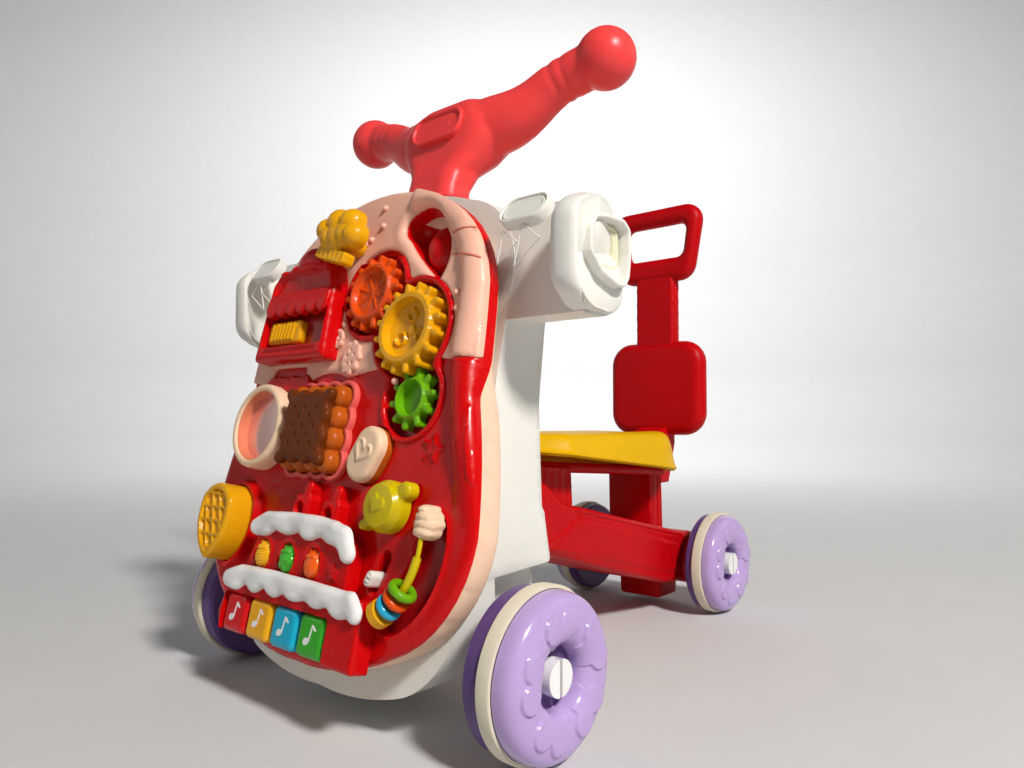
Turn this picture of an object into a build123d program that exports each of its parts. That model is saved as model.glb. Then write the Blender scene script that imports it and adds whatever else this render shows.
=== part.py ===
from build123d import *
import math
import os

# A push-along walker for babies, which is also a ride-on seat. +Z is up, the toy
# panel faces -Y, and +X is on the right of someone who looks at the panel.
# Lengths are in millimetres and angles in degrees.

# ---- driving dimensions --------------------------------------------------------
wheel_radius = 56.0
front_axle_y = -202.4
wheelbase = 431.0
rear_axle_y = front_axle_y + wheelbase
axle_radius = 4.0
axle_play = 0.08
front_tread_x = 172.0
rear_tread_x = 91.0
tread_width = 11.0

panel_tilt = 12.5
panel_foot_y = front_axle_y - 78.8
base_depth = 12.0
lip_depth = 4.5
tray_depth = 14.0
body_half_width = 131.0
body_bottom = 22.0
wall = 3.0

steering_y = front_axle_y + 98.0
steering_radius = 5.0
arm_centre_y = front_axle_y + 27.0
arm_centre_z = 329.0
arm_end_x = 206.0

gear_module = 4.0
yellow_teeth = 16
orange_teeth = 14
green_teeth = 10
yellow_centre = (68.0, 289.0)
orange_bearing = 146.6
green_bearing = -78.7
gear_pin_radius = 4.0

key_pitch = 33.0
key_count = 4
first_key_u = -66.5
fruit_places = (-49.0, -17.0, 15.0)

rail_centre = (68.6, 139.2)
rail_radius = 53.0
rail_height = 10.0
rail_start = -66.0
rail_step = -8.0
rail_end = 12.0
rod_radius = 2.8
thin_rod_radius = 1.6

# Places on the panel face: across, and up along the tilted face from the floor.
biscuit_centre = (-20.0, 214.0)
popsicle_centre = (48.0, 196.0)
popsicle_turn = -28.0
pot_centre = (80.0, 161.0)
waffle_centre = (-113.0, 134.0)
ring_centre = (-95.0, 215.0)
oven_centre = (-66.0, 295.0)
hat_post = (-14.0, 366.0)
switch_centre = (76.0, 118.0)
switch_turn = -22.0

neck_width = 70.0
neck_depth = 34.0
neck_y = front_axle_y + 66.0
neck_foot = 372.0
neck_top = 424.0
hub_y = front_axle_y + 92.0
hub_z = 476.0
bar_radius = 17.0
elbow_radius = 20.0
knob_x = 146.0
knob_y = front_axle_y + 118.0
knob_z = 512.0
knob_radius = 25.0

sill_half = 60.0
pedestal_half = 30.0
deck_top = 170.0
pin_foot = 78.0
pin_top = 188.0
pin_head_radius = 9.0
pin_head = 4.8

PANEL = Plane(
    origin=(0, panel_foot_y, 0),
    x_dir=(1, 0, 0),
    z_dir=(0, -math.cos(math.radians(panel_tilt)), math.sin(math.radians(panel_tilt))),
)


def save(name, shape):
    """Write one named piece as a STEP file."""
    shape.label = name
    export_step(shape, f"parts/{name}.step")


def slab(sketch, low, high):
    """A sketch in panel coordinates, from height low to height high above the panel."""
    return PANEL * extrude(Pos(0, 0, low) * sketch, high - low)


def polar(centre, radius, angle):
    """A point at a bearing and distance from a centre."""
    turn = math.radians(angle)
    return (centre[0] + radius * math.cos(turn), centre[1] + radius * math.sin(turn))


def along_x(x0, x1, radius, y, z):
    """A round bar along X."""
    bar = extrude(Plane.YZ * Circle(radius), x1 - x0)
    return Pos(x0, y, z) * bar


def upright(z0, z1, radius, x, y):
    """A round bar along Z."""
    return Pos(x, y, z0) * extrude(Circle(radius), z1 - z0)


def mirrored(shape):
    """The same piece on the other side of the walker."""
    return mirror(shape, about=Plane.YZ)


# ---- outlines ------------------------------------------------------------------
def half_outline():
    """The right-hand edge of the toy panel, from the foot to the crown."""
    return [
        ThreePointArc((0, 45), (52, 49), (100, 66)),
        ThreePointArc((100, 66), (141, 99), (157, 148)),
        ThreePointArc((157, 148), (151, 192), (139, 240)),
        ThreePointArc((139, 240), (137, 282), (133, 322)),
        ThreePointArc((133, 322), (109, 369), (62, 400)),
        ThreePointArc((62, 400), (32, 409), (0, 412)),
    ]


def panel_outline(inset=0.0):
    """The face of the toy panel, drawn in by inset."""
    right = half_outline()
    left = [mirror(edge, about=Plane.YZ) for edge in right]
    face = make_face(right + left)
    if inset:
        face = offset(face, amount=-inset)
    return face


def front_view(inset=0.0):
    """The white body seen from the front, in X and Z, drawn in by inset."""
    top = 400.0
    right = [
        ThreePointArc((0, body_bottom), (55, body_bottom + 2), (92, 33)),
        ThreePointArc((92, 33), (121, 58), (body_half_width, 100)),
        Line((body_half_width, 100), (body_half_width, 300)),
        ThreePointArc((body_half_width, 300), (107, 360), (60, 390)),
        ThreePointArc((60, 390), (31, 398), (0, top)),
    ]
    left = [mirror(edge, about=Plane.YZ) for edge in right]
    face = make_face(right + left)
    if inset:
        face = offset(face, amount=-inset)
    return face


def front_line(height, depth):
    """Y of the plane that lies depth behind the panel face, at a height Z."""
    lean = math.radians(panel_tilt)
    along = (height + depth * math.sin(lean)) / math.cos(lean)
    return panel_foot_y + along * math.sin(lean) + depth * math.cos(lean)


# The back of the body, from the foot up, as (behind the front axle, height).
BACK_LINE = [(74, body_bottom), (74, 112), (66, 150), (62, 230), (70, 295), (98, 372), (98, 410)]


def side_view(rear_inset=0.0, front_depth=base_depth + tray_depth):
    """The body seen from the side, between the tray and the back line."""
    back = [(front_axle_y + y - rear_inset, z) for y, z in BACK_LINE]
    front = [(front_line(410, front_depth), 410), (front_line(0, front_depth), 0)]
    foot = [(front_axle_y + 74 - rear_inset, 0)]
    return make_face(Polyline(back + front + foot, close=True))


def in_side_view(face, half_width):
    """A side view carried across the width."""
    return extrude(Plane.YZ * face, half_width, both=True)


def in_front_view(face, y0, y1):
    """A front view carried from y0 back to y1."""
    plane = Plane(origin=(0, y1, 0), x_dir=(1, 0, 0), z_dir=(0, -1, 0))
    return plane * extrude(face, y1 - y0)


# ---- white body ----------------------------------------------------------------
arch_x = 106.0
arch_top = 112.0
arch_front = front_axle_y + 2.0
sleeve_end_x = 149.5


def wheel_arches(grow=0.0):
    """The room beside the body that the front wheels and their housings leave open."""
    low = -10.0
    box = Pos(arch_x - grow, arch_front - grow, low) * Box(
        80, 200, arch_top + grow - low, align=(Align.MIN, Align.MIN, Align.MIN)
    )
    box = fillet(box.edges().filter_by(Axis.X).group_by(Axis.Z)[-1].sort_by(Axis.Y)[0], 22)
    return box + mirrored(box)


def arm_section(grow=0.0):
    """The rounded section of a side arm, in Y and Z."""
    ring = Plane.YZ * RectangleRounded(66 + 2 * grow, 84 + 2 * grow, 27 + grow)
    return Pos(0, arm_centre_y, arm_centre_z) * ring


def make_body_shell():
    reach_front = front_axle_y - 90
    reach_back = front_axle_y + 130
    outer = in_front_view(front_view(), reach_front, reach_back)
    outer = outer & in_side_view(side_view(), 160)
    outer = outer - wheel_arches()
    inner = in_front_view(front_view(wall), reach_front, reach_back)
    inner = inner - wheel_arches(wall)
    shell = outer - inner
    sleeve = along_x(arch_x - 8, sleeve_end_x, 12, front_axle_y, wheel_radius)
    shell = shell + sleeve + mirrored(sleeve)
    shell = shell - along_x(-160, 160, axle_radius, front_axle_y, wheel_radius)
    arm_hole = Pos(arm_start_x - 0.5, 0, 0) * extrude(arm_section(0.2), 100)
    shell = shell - arm_hole - mirrored(arm_hole)
    neck_hole = Pos(0, neck_y, 396) * Box(neck_width + 0.6, neck_depth + 0.6, 60)
    return shell - neck_hole


fork_thickness = 10.0
fork_heights = (86.0, 178.0)
fork_radius = 18.0
door_height = 262.5
DOOR = Plane(
    origin=(0, front_axle_y + 66, door_height),
    x_dir=(1, 0, 0),
    z_dir=(0, math.cos(math.radians(7)), -math.sin(math.radians(7))),
)
SCREWS = [(x, y, z) for x in (-100, 100) for y, z in ((63.6, 170), (61.6, 215), (68.0, 300))]
screw_radius = 3.5


def make_rear_cover():
    """The plate that closes the body, with the fork that holds the steering pin."""
    strip = side_view() - side_view(rear_inset=wall)
    plate = in_side_view(strip, 160) & in_front_view(
        front_view(wall + 0.2), front_axle_y - 90, front_axle_y + 130
    )
    plate = plate - wheel_arches(wall + 0.2)
    plate = plate - Pos(0, neck_y, 396) * Box(neck_width + 0.6, neck_depth + 0.6, 60)
    for z in fork_heights:
        lug = Pos(0, steering_y - 20, z) * Box(2 * fork_radius, 44, fork_thickness)
        eye = upright(z - fork_thickness / 2, z + fork_thickness / 2, fork_radius, 0, steering_y)
        plate = plate + lug + eye
    plate = plate - DOOR * extrude(RectangleRounded(92, 46, 5), 12, both=True)
    for x, y, z in SCREWS:
        plate = plate - Pos(x, front_axle_y + y, z) * Rot(90, 0, 0) * Cylinder(screw_radius + 0.1, 12)
    return plate - upright(60, 200, steering_radius, 0, steering_y)


def make_battery_door():
    """The lid over the batteries, let into the rear cover."""
    lid = extrude(RectangleRounded(91.2, 45.2, 4.6), -wall)
    lock = Pos(0, 15, -wall) * extrude(Circle(5), wall + 1.5)
    slot = Pos(0, 15, 0) * extrude(Rectangle(7, 1.4), 3)
    return DOOR * (lid + lock - slot)


def make_body_screws():
    """Six screws through the rear cover."""
    screws = []
    for x, y, z in SCREWS:
        shank = Pos(x, front_axle_y + y, z) * Rot(90, 0, 0) * Cylinder(screw_radius, 7)
        cross = Pos(x, front_axle_y + y + 4, z) * (Box(4, 2.4, 1) + Box(1, 2.4, 4))
        screws.append(shank - cross)
    return Compound(children=screws)


# ---- toy panel -----------------------------------------------------------------
def make_panel_tray():
    """The cream tray between the panel and the body."""
    back = base_depth + tray_depth
    tray = slab(panel_outline(0.6), -back, -lip_depth)
    tray = tray - slab(panel_outline(0.6 + wall), -back + wall, -lip_depth)
    return tray - slab(panel_outline(22), -back - 1, -base_depth)


def gear_spin(own_teeth, centre_bearing):
    """The angle of a gear's first tooth so that it meshes with the yellow gear."""
    pitch = 360.0 / yellow_teeth
    lag = (centre_bearing - orange_bearing) % pitch
    return centre_bearing + 180 + lag * yellow_teeth / own_teeth + 180 / own_teeth


def gear_distance(teeth):
    return gear_module * (yellow_teeth + teeth) / 2


orange_centre = polar(yellow_centre, gear_distance(orange_teeth), orange_bearing)
green_centre = polar(yellow_centre, gear_distance(green_teeth), green_bearing)
GEARS = {
    "gear_yellow": (yellow_centre, yellow_teeth, orange_bearing, 12.0, 22.0),
    "gear_orange": (orange_centre, orange_teeth, gear_spin(orange_teeth, orange_bearing), 11.0, 19.5),
    "gear_green": (green_centre, green_teeth, gear_spin(green_teeth, green_bearing), 4.0, 12.5),
}
gear_floor = -8.0
gear_under = -6.8
tooth_reach = 3.0
tooth_root = 4.2


def make_gear(name):
    """A cup-shaped gear with long round-ended teeth."""
    centre, teeth, spin, rim, cup = GEARS[name]
    pitch_radius = gear_module * teeth / 2
    root = pitch_radius - tooth_root
    tooth = Pos(root + (tooth_root + tooth_reach) / 2 - 1.5, 0) * SlotOverall(
        tooth_root + tooth_reach + 3, 5.0
    )
    blank = Circle(root)
    for index in range(teeth):
        blank = blank + Rot(0, 0, spin + index * 360 / teeth) * tooth
    gear = Pos(*centre, gear_under) * extrude(blank, rim - 2.0 - gear_under)
    gear = gear + Pos(*centre, gear_under) * extrude(Circle(root), rim - gear_under)
    gear = gear - Pos(*centre, gear_under + 4) * extrude(Circle(cup), 60)
    gear = gear - Pos(*centre, gear_under - 1) * extrude(Circle(gear_pin_radius + axle_play), 60)
    return PANEL * gear


def gear_wells(grow=0.0):
    """The joined round wells that the gears stand in."""
    wells = Pos(*yellow_centre) * Circle(37.5 + grow)
    wells = wells + Pos(*orange_centre) * Circle(33.5 + grow)
    return wells + Pos(*green_centre) * Circle(28 + grow)


def drop_outline(inset=0.0):
    """The teardrop hole beside the carrying handle."""
    arcs = [
        ThreePointArc((85, 327), (92, 346), (84, 367)),
        ThreePointArc((84, 367), (62, 388), (43, 385)),
        ThreePointArc((43, 385), (37, 376), (44, 365)),
        ThreePointArc((44, 365), (63, 345), (85, 327)),
    ]
    face = make_face(arcs)
    return offset(face, amount=-inset) if inset else face


def biscuit_outline(grow=0.0):
    """A square biscuit with a row of round lobes along each side."""
    wide, tall, lobe = 50.0, 50.0, 9.0
    face = Rectangle(wide, tall)
    for i in range(4):
        for side in (-1, 1):
            face = face + Pos(side * wide / 2, (i - 1.5) * tall / 3) * Circle(lobe)
            face = face + Pos((i - 1.5) * wide / 3, side * tall / 2) * Circle(lobe)
    if grow:
        face = offset(face, amount=grow)
    return Pos(*biscuit_centre) * face


def popsicle_outline(grow=0.0):
    face = RectangleRounded(29 + 2 * grow, 42 + 2 * grow, 14 + grow)
    return Pos(*popsicle_centre) * Rot(0, 0, popsicle_turn) * face


def waffle_outline(grow=0.0):
    arcs = [
        ThreePointArc((-22, 18), (0, 30), (22, 18)),
        ThreePointArc((22, 18), (20, -12), (4, -30)),
        ThreePointArc((4, -30), (0, -31.5), (-4, -30)),
        ThreePointArc((-4, -30), (-20, -12), (-22, 18)),
    ]
    face = make_face(arcs)
    if grow:
        face = offset(face, amount=grow)
    return Pos(*waffle_centre) * face


def slot_outline(half_width, low_angle=-58.0, high_angle=8.0, end_angle=19.0):
    """A banana-shaped outline that follows the ring rail, with round ends."""
    outer = rail_radius + half_width
    inner = rail_radius - half_width
    middle = (low_angle + high_angle) / 2
    low_outer = polar(rail_centre, outer, low_angle)
    high_outer = polar(rail_centre, outer, high_angle)
    low_inner = polar(rail_centre, inner, low_angle)
    high_inner = polar(rail_centre, inner, high_angle)
    edges = [
        ThreePointArc(low_outer, polar(rail_centre, outer, middle), high_outer),
        ThreePointArc(high_outer, polar(rail_centre, rail_radius, high_angle + end_angle), high_inner),
        ThreePointArc(high_inner, polar(rail_centre, inner, middle), low_inner),
        ThreePointArc(low_inner, polar(rail_centre, rail_radius, low_angle - end_angle), low_outer),
    ]
    return make_face(edges)


def pocket(base, sketch, outside, depth):
    """A well with a floor, sunk into the panel."""
    base = base + slab(outside, -depth - 2.5, -1)
    return base - slab(sketch, -depth, 1)


def make_panel_base():
    """The red moulding that carries every toy."""
    base = slab(panel_outline(), -lip_depth, 0) + slab(panel_outline(4), -base_depth, -3)
    base = base - slab(panel_outline(4 + wall), -base_depth, -3)
    base = pocket(base, gear_wells(), gear_wells(2.5), -gear_floor)
    base = pocket(base, drop_outline(), drop_outline(-2.5), 20)
    base = pocket(base, biscuit_outline(1.2), biscuit_outline(3.7), 8)
    base = pocket(base, popsicle_outline(0.8), popsicle_outline(3.3), 7)
    base = pocket(base, slot_outline(13), slot_outline(15.5), 9)
    bezel = slab(waffle_outline(6), -1, 6)
    base = pocket(base + bezel, waffle_outline(1.0), waffle_outline(3.5), 8)
    base = base - slab(waffle_outline(1.0), -1, 8)
    switch_place = Pos(*switch_centre) * Rot(0, 0, 90 + switch_turn)
    base = pocket(base, switch_place * SlotOverall(30, 10), switch_place * SlotOverall(35, 15), 5)
    for centre, _, _, _, _ in GEARS.values():
        base = base + slab(Pos(*centre) * Circle(gear_pin_radius), gear_floor - 1, 0)
    base = base + slab(Pos(*pot_centre) * Circle(gear_pin_radius), -3, 8)
    return base + slab(Pos(*hat_post) * Circle(gear_pin_radius), -3, 14)


def make_panel_fascia():
    """The pink cover over the upper half, with the carrying handle."""
    height = 3.0
    cover = panel_outline(1.0)
    low_edge = [
        ThreePointArc((-170, 256), (-130, 255), (-104, 249)),
        ThreePointArc((-104, 249), (-80, 243), (-56, 250)),
        ThreePointArc((-56, 250), (-30, 260), (0, 256)),
        ThreePointArc((0, 256), (60, 264), (170, 262)),
    ]
    upper = make_face(low_edge + [Polyline([(170, 262), (170, 430), (-170, 430), (-170, 256)])])
    cover = cover & upper
    cover = cover - gear_wells(0.6) - drop_outline(-0.5) - Pos(*hat_post) * Circle(gear_pin_radius + 1)
    cover = cover - Pos(*ring_centre) * Circle(36.5) - biscuit_outline(5.6)
    slot = Pos(-80, 262.5) * SlotOverall(50, 10)
    fascia = slab(cover - slot, 0.05, height)
    handle_path = [(53, 396), (88, 380), (112, 352), (122, 318), (123, 270)]
    for start, end in zip(handle_path[:-1], handle_path[1:]):
        run = Vector(end[0] - start[0], end[1] - start[1])
        turn = math.degrees(math.atan2(run.Y, run.X))
        stretch = Pos(*start) * Rot(0, 0, turn) * Pos(run.length / 2, 0) * Rectangle(run.length, 24)
        fascia = fascia + slab(stretch, 0.05, 8)
    for corner in handle_path:
        fascia = fascia + slab(Pos(*corner) * Circle(12), 0.05, 8)
    fascia = fascia - slab(gear_wells(0.6), 0, 40) - slab(drop_outline(-0.5), 0, 40)
    return fascia & slab(panel_outline(1.0), 0, 40)


def make_oven_body():
    """The toy oven with its scalloped awning and a window for the door handle."""
    base = [(-50, -24), (50, -24), (42, 52), (22, 60), (-22, 60), (-42, 52)]
    face = make_face(Polyline(base, close=True))
    face = Pos(*oven_centre) * face
    face = fillet(face.vertices(), 6)
    oven = slab(face, 3.1, 18)
    window = Pos(oven_centre[0], oven_centre[1] + 3) * RectangleRounded(86, 32, 4)
    oven = oven - slab(window, 7, 40)
    awning = Pos(oven_centre[0], oven_centre[1] + 37) * Rectangle(88, 24)
    for i in range(6):
        scallop = Pos(oven_centre[0] + (i - 2.5) * 14.6, oven_centre[1] + 25) * Circle(7.3)
        awning = awning + scallop
    oven = oven + slab(awning, 17, 23)
    return oven - slab(Pos(*hat_post) * Circle(28), 18.2, 40)


def make_oven_slider():
    """The ribbed yellow handle that slides across the oven window."""
    start_u = oven_centre[0] - 17
    start_v = oven_centre[1] + 0.5
    slider = slab(Pos(start_u, start_v) * RectangleRounded(46, 20, 4), 7.4, 15)
    for i in range(7):
        rib = Pos(start_u - 15 + i * 6, start_v) * Rot(0, 0, 84) * SlotOverall(15, 2.6)
        slider = slider + slab(rib, 14, 17)
    return slider


def make_chef_hat():
    """A puffy hat that swivels on a pin."""
    lobes = [(-20, 10, 11), (-5, 15, 12), (14, 12, 13), (22, -2, 11), (0, 2, 16)]
    crown = Circle(13)
    for u, v, radius in lobes:
        crown = crown + Pos(u * 0.9, v * 0.9) * Circle(radius)
    band = Pos(-3, -15) * Rot(0, 0, -16) * Rectangle(36, 11)
    face = Pos(*hat_post) * (crown + band + Pos(-2, -6) * Rot(0, 0, -16) * Rectangle(30, 14))
    hat = slab(face, 18.6, 32)
    hat = hat + slab(Pos(*hat_post) * Circle(9), 3.4, 19)
    return hat - slab(Pos(*hat_post) * Circle(gear_pin_radius + axle_play), 0, 15)


def make_mirror_ring():
    """The cream frame round the mirror."""
    outer = Pos(*ring_centre) * Circle(36)
    inner = Pos(*ring_centre) * Circle(28)
    return slab(outer - inner, 0.05, 15) + slab(outer, 0.05, 3)


def make_mirror():
    return slab(Pos(*ring_centre) * Circle(27.8), 3.0, 5.0)


def make_biscuit_base():
    """The coral plate with a wavy edge under the biscuit."""
    plate = slab(biscuit_outline(5.0), 0.05, 4.5) - slab(biscuit_outline(1.2), 0, 10)
    return plate - slab(Pos(*ring_centre) * Circle(36.3), 0, 10)


def make_biscuit_button():
    face = biscuit_outline()
    top = Pos(*biscuit_centre) * RectangleRounded(52, 52, 8)
    button = slab(face, -4.0, 14) + slab(top, 14, 20)
    return button - slab(biscuit_outline(-wall), -5, 11)


def make_popsicle():
    return slab(popsicle_outline(), -3.0, 11)


def make_pot_knob():
    """A cooking-pot knob that turns on a pin."""
    face = Circle(18.0) + Pos(18, 12) * Circle(6) + Pos(-17, -14) * Rot(0, 0, 35) * SlotOverall(14, 8)
    knob = slab(Pos(*pot_centre) * face, 0.6, 15)
    return knob - slab(Pos(*pot_centre) * Circle(gear_pin_radius + axle_play), 0, 9)


def make_waffle_button():
    button = slab(waffle_outline(), -3.0, 25) - slab(waffle_outline(-5), 20, 30)
    return button - slab(waffle_outline(-wall), -4, 17)


def rail_run(start, end, radius):
    """A stretch of the bent rod, from one angle about the rail's centre to another."""
    arc = CenterArc(rail_centre, rail_radius, start, end - start)
    section = Plane(origin=arc @ 0, z_dir=arc % 0) * Circle(radius)
    return Pos(0, 0, rail_height) * sweep(section, path=arc)


def on_rail(angle, shape):
    """A shape whose axis is Z, threaded on the rail at an angle."""
    place = polar(rail_centre, rail_radius, angle)
    return Pos(*place, rail_height) * Rot(0, 0, angle) * Rot(90, 0, 0) * shape


def make_rail():
    """The bent rod that the rings slide on, thinner above, with a stop at its foot."""
    rod = rail_run(rail_start, rail_step, rod_radius) + rail_run(rail_step, rail_end, thin_rod_radius)
    foot_place = polar(rail_centre, rail_radius, rail_start)
    rod = rod + Pos(*foot_place, -8.9) * extrude(Circle(4.0), rail_height + 8.9)
    stop = on_rail(-59, Cylinder(9.4, 8))
    return PANEL * (rod + stop)


def make_rail_top():
    """The whipped top over the upper end of the rail."""
    place = polar(rail_centre, rail_radius, rail_end)
    face = Pos(place[0] + 1, place[1] + 4) * Rot(0, 0, 8) * RectangleRounded(21, 20, 6)
    rod = PANEL * rail_run(rail_step, rail_end, thin_rod_radius + 0.05)
    return slab(face, 0.6, 19) - rod


RINGS = {"ring_blue": (-50.0, 9.4), "ring_orange": (-41.8, 9.4), "ring_green": (-33.3, 10.2)}
ring_thickness = 6.0


def make_ring(name):
    """A ring threaded on the rail."""
    angle, radius = RINGS[name]
    return PANEL * on_rail(angle, Torus(radius - ring_thickness / 2, ring_thickness / 2))


def make_power_switch():
    nub = Rot(0, 0, 90 + switch_turn) * SlotOverall(13, 8.6)
    place = polar(switch_centre, -6, 90 + switch_turn)
    return slab(Pos(*place) * nub, -4.4, 7)


cake_low = 52.0
cake_mid = 98.0
cake_top = 144.0


def make_cake_body():
    """The two-tier cake with a key bay below and three light wells above."""
    lower = make_face(
        Polyline([(-90, 66), (-84, cake_low), (82, cake_low), (82, cake_mid), (-80, cake_mid)], close=True)
    )
    upper = make_face(
        Polyline([(-74, cake_mid - 2), (57, cake_mid - 2), (56, 132), (36, cake_top), (-58, cake_top - 4)], close=True)
    )
    cake = slab(lower, 0.05, 15) + slab(upper, 0.05, 11)
    bay = make_face(Polyline([(-84, 40), (50, 40), (50, 82), (-84, 82)], close=True))
    cake = cake - slab(bay, 2.6, 40)
    for u in fruit_places:
        cake = cake - slab(Pos(u, 114) * Ellipse(9.4, 11.4), 3, 40)
    for u, foot in ((-14, 140), (22, 138)):
        stick = Pos(u, foot + 9) * RectangleRounded(19, 28, 4)
        flame = Pos(u + 4, foot + 27) * Circle(5)
        cake = cake + slab(stick + flame, 0.05, 9)
        cake = cake - slab(Pos(u - 1, foot + 12) * Circle(5), 5, 20)
    return cake


def wavy_strip(left, right, high, low, count, depth):
    """A strip with a straight top and a dripping lower edge."""
    pitch = (right - left) / count
    face = Pos((left + right) / 2, (high + low) / 2) * Rectangle(right - left, high - low)
    for i in range(count):
        drip = Pos(left + pitch * (i + 0.5), low) * Ellipse(pitch * 0.42, depth)
        face = face + drip
    return face


def make_cake_icing():
    """Two white drips, one on each tier."""
    low = slab(wavy_strip(-84, 80, 99, 90, 6, 5), 15.05, 18.5)
    top = slab(wavy_strip(-66, 56, 143, 133, 5, 6), 11.05, 15.0)
    return Compound(children=[low, top])


def make_fruit(index):
    u = fruit_places[index]
    return slab(Pos(u, 114) * Ellipse(9.0, 11.0), 6.0, 15.5)


def make_key(index):
    """A piano key that rocks on its upper edge."""
    u = first_key_u + index * key_pitch
    return slab(Pos(u, 67.5) * RectangleRounded(28, 27, 4), 5.5, 13.5)


# ---- side arms, handlebar --------------------------------------------------------
button_x = 158.5
arm_start_x = 97.0
collar_x = 179.0
drum_end_x = 200.0
drum_drop = 4.0
button_slope = 35.0
BUTTON = Plane(
    origin=(button_x, arm_centre_y - 28.1, arm_centre_z + 30.5),
    x_dir=(1, 0, 0),
    z_dir=(0, -math.cos(math.radians(button_slope)), math.sin(math.radians(button_slope))),
)


def make_side_arm():
    """The right-hand side arm: a hollow boss behind the toy panel."""
    arm = Pos(arm_start_x, 0, 0) * extrude(arm_section(), collar_x - arm_start_x)
    arm = arm - Pos(arm_start_x - 3, 0, 0) * extrude(arm_section(-wall), collar_x - arm_start_x)
    arm = arm - slab(panel_outline(-1), -base_depth - tray_depth - 0.3, 40)
    return arm - BUTTON * extrude(SlotOverall(36.8, 20.8), 12, both=True)


def make_arm_end():
    """The flared collar, the drum and the square socket on the end of the right-hand arm."""
    collar = Pos(collar_x + 0.05, 0, 0) * extrude(arm_section(3.2), 14)
    drum = Pos(collar_x + 0.05, 0, -drum_drop) * extrude(arm_section(-5), drum_end_x - collar_x)
    socket_y = arm_centre_y + 4
    frame = Plane.YZ * RectangleRounded(48, 49, 10)
    frame = Pos(drum_end_x - 1, socket_y, arm_centre_z) * extrude(frame, arm_end_x - drum_end_x + 3)
    socket = Plane.YZ * RectangleRounded(38, 38, 7)
    socket = Pos(collar_x + 3, socket_y, arm_centre_z) * extrude(socket, 40)
    latch = Plane.YZ * SlotOverall(22, 15)
    latch = Pos(collar_x + 2, socket_y, arm_centre_z) * extrude(latch, arm_end_x - collar_x - 6)
    return collar + drum + frame - socket + latch


def make_release_button():
    """The oval button on the upper front of the right-hand arm."""
    return BUTTON * Pos(0, 0, -6) * extrude(SlotOverall(36, 20), 8)


def bar_run(start, end, first_radius, last_radius):
    """A tapered round run between two points."""
    axis = Vector(*end) - Vector(*start)
    near = Plane(origin=start, z_dir=axis) * Circle(first_radius)
    far = Plane(origin=end, z_dir=axis) * Circle(last_radius)
    return loft([near, far])


def make_handlebar():
    """A one-piece handlebar with a broad hub, two swept arms and ball ends."""
    plug = extrude(RectangleRounded(neck_width, neck_depth, 12), neck_top - neck_foot)
    neck = Pos(0, neck_y, neck_foot) * plug
    throat = loft([
        Pos(0, neck_y, neck_top - 12) * RectangleRounded(neck_width - 4, neck_depth - 2, 12),
        Pos(0, hub_y - 2, hub_z - 6) * RectangleRounded(58, 36, 14),
    ])
    hub = Pos(0, hub_y, hub_z) * Rot(-14, 0, 0) * Box(92, 46, 50)
    hub = fillet(hub.edges(), 18)
    bar = neck + throat + hub
    for side in (-1, 1):
        elbow = (side * 86, hub_y + 10, 492)
        knob = (side * knob_x, knob_y, knob_z)
        bar = bar + bar_run((side * 30, hub_y, hub_z + 4), elbow, 24, elbow_radius)
        bar = bar + bar_run(elbow, knob, elbow_radius, bar_radius)
        bar = bar + Pos(*elbow) * Sphere(elbow_radius) + Pos(*knob) * Sphere(knob_radius)
    return bar


# ---- chassis, seat, backrest -----------------------------------------------------
def across(points, half_width):
    """A side-view polygon, (behind the front axle, height), carried across the width."""
    face = make_face(Polyline([(front_axle_y + y, z) for y, z in points], close=True))
    return extrude(Plane.YZ * face, half_width, both=True)


def make_chassis():
    """The red rear frame from the steering eye to the rear axle."""
    side = [(128, 100), (160, 97), (281, 62), (372, 38), (431, 34), (431, 84), (343, 103), (194, 138), (160, 157),
            (128, 165)]
    body = across(side, sill_half)
    inner = [(131, 90), (160, 88), (281, 52), (372, 28), (431, 20), (431, 81), (343, 99.5), (194, 134.5),
             (160, 153.5), (131, 161)]
    body = body - across(inner, sill_half - wall)
    neck = across([(98, 98), (131, 98), (131, 164), (98, 164)], 17)
    eye = upright(93.5, 170.5, 22, 0, steering_y)
    housing = along_x(-72, 72, 28, rear_axle_y, wheel_radius)
    front_post = across([(150, 150), (223, 128), (223, deck_top - 6), (150, deck_top + 4)], pedestal_half + 8)
    rear_post = across([(386, 90), (417, 84), (417, 160), (386, 160)], pedestal_half)
    deck = across([(150, deck_top), (417, 154), (417, 162), (150, deck_top + 12)], pedestal_half + 4)
    foot = across([(408, 6), (454, 6), (454, 60), (408, 60)], 28)
    frame = body + neck + eye + housing + front_post + rear_post + deck + foot
    frame = frame - upright(60, 200, steering_radius + axle_play, 0, steering_y)
    frame = frame - along_x(-90, 90, axle_radius + axle_play, rear_axle_y, wheel_radius)
    socket = across([(394, 141), (450, 141), (450, 151), (394, 151)], 19.3)
    return frame - socket


def make_steering_pin():
    """The upright pin that the rear frame swings on."""
    shank = upright(pin_foot, pin_top, steering_radius, 0, steering_y)
    return shank + upright(pin_top - pin_head, pin_top, pin_head_radius, 0, steering_y)


def seat_plan(inset):
    """The seat from above: straight sides, a round back and a rounded front."""
    half = 76.0 - inset
    round_y = front_axle_y + 345
    front_y = front_axle_y + 132 + inset
    edges = [
        Line((half, front_y + 40), (half, round_y)),
        ThreePointArc((half, round_y), (0, round_y + half), (-half, round_y)),
        Line((-half, round_y), (-half, front_y + 40)),
        ThreePointArc((-half, front_y + 40), (0, front_y), (half, front_y + 40)),
    ]
    return make_face(edges)


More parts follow.
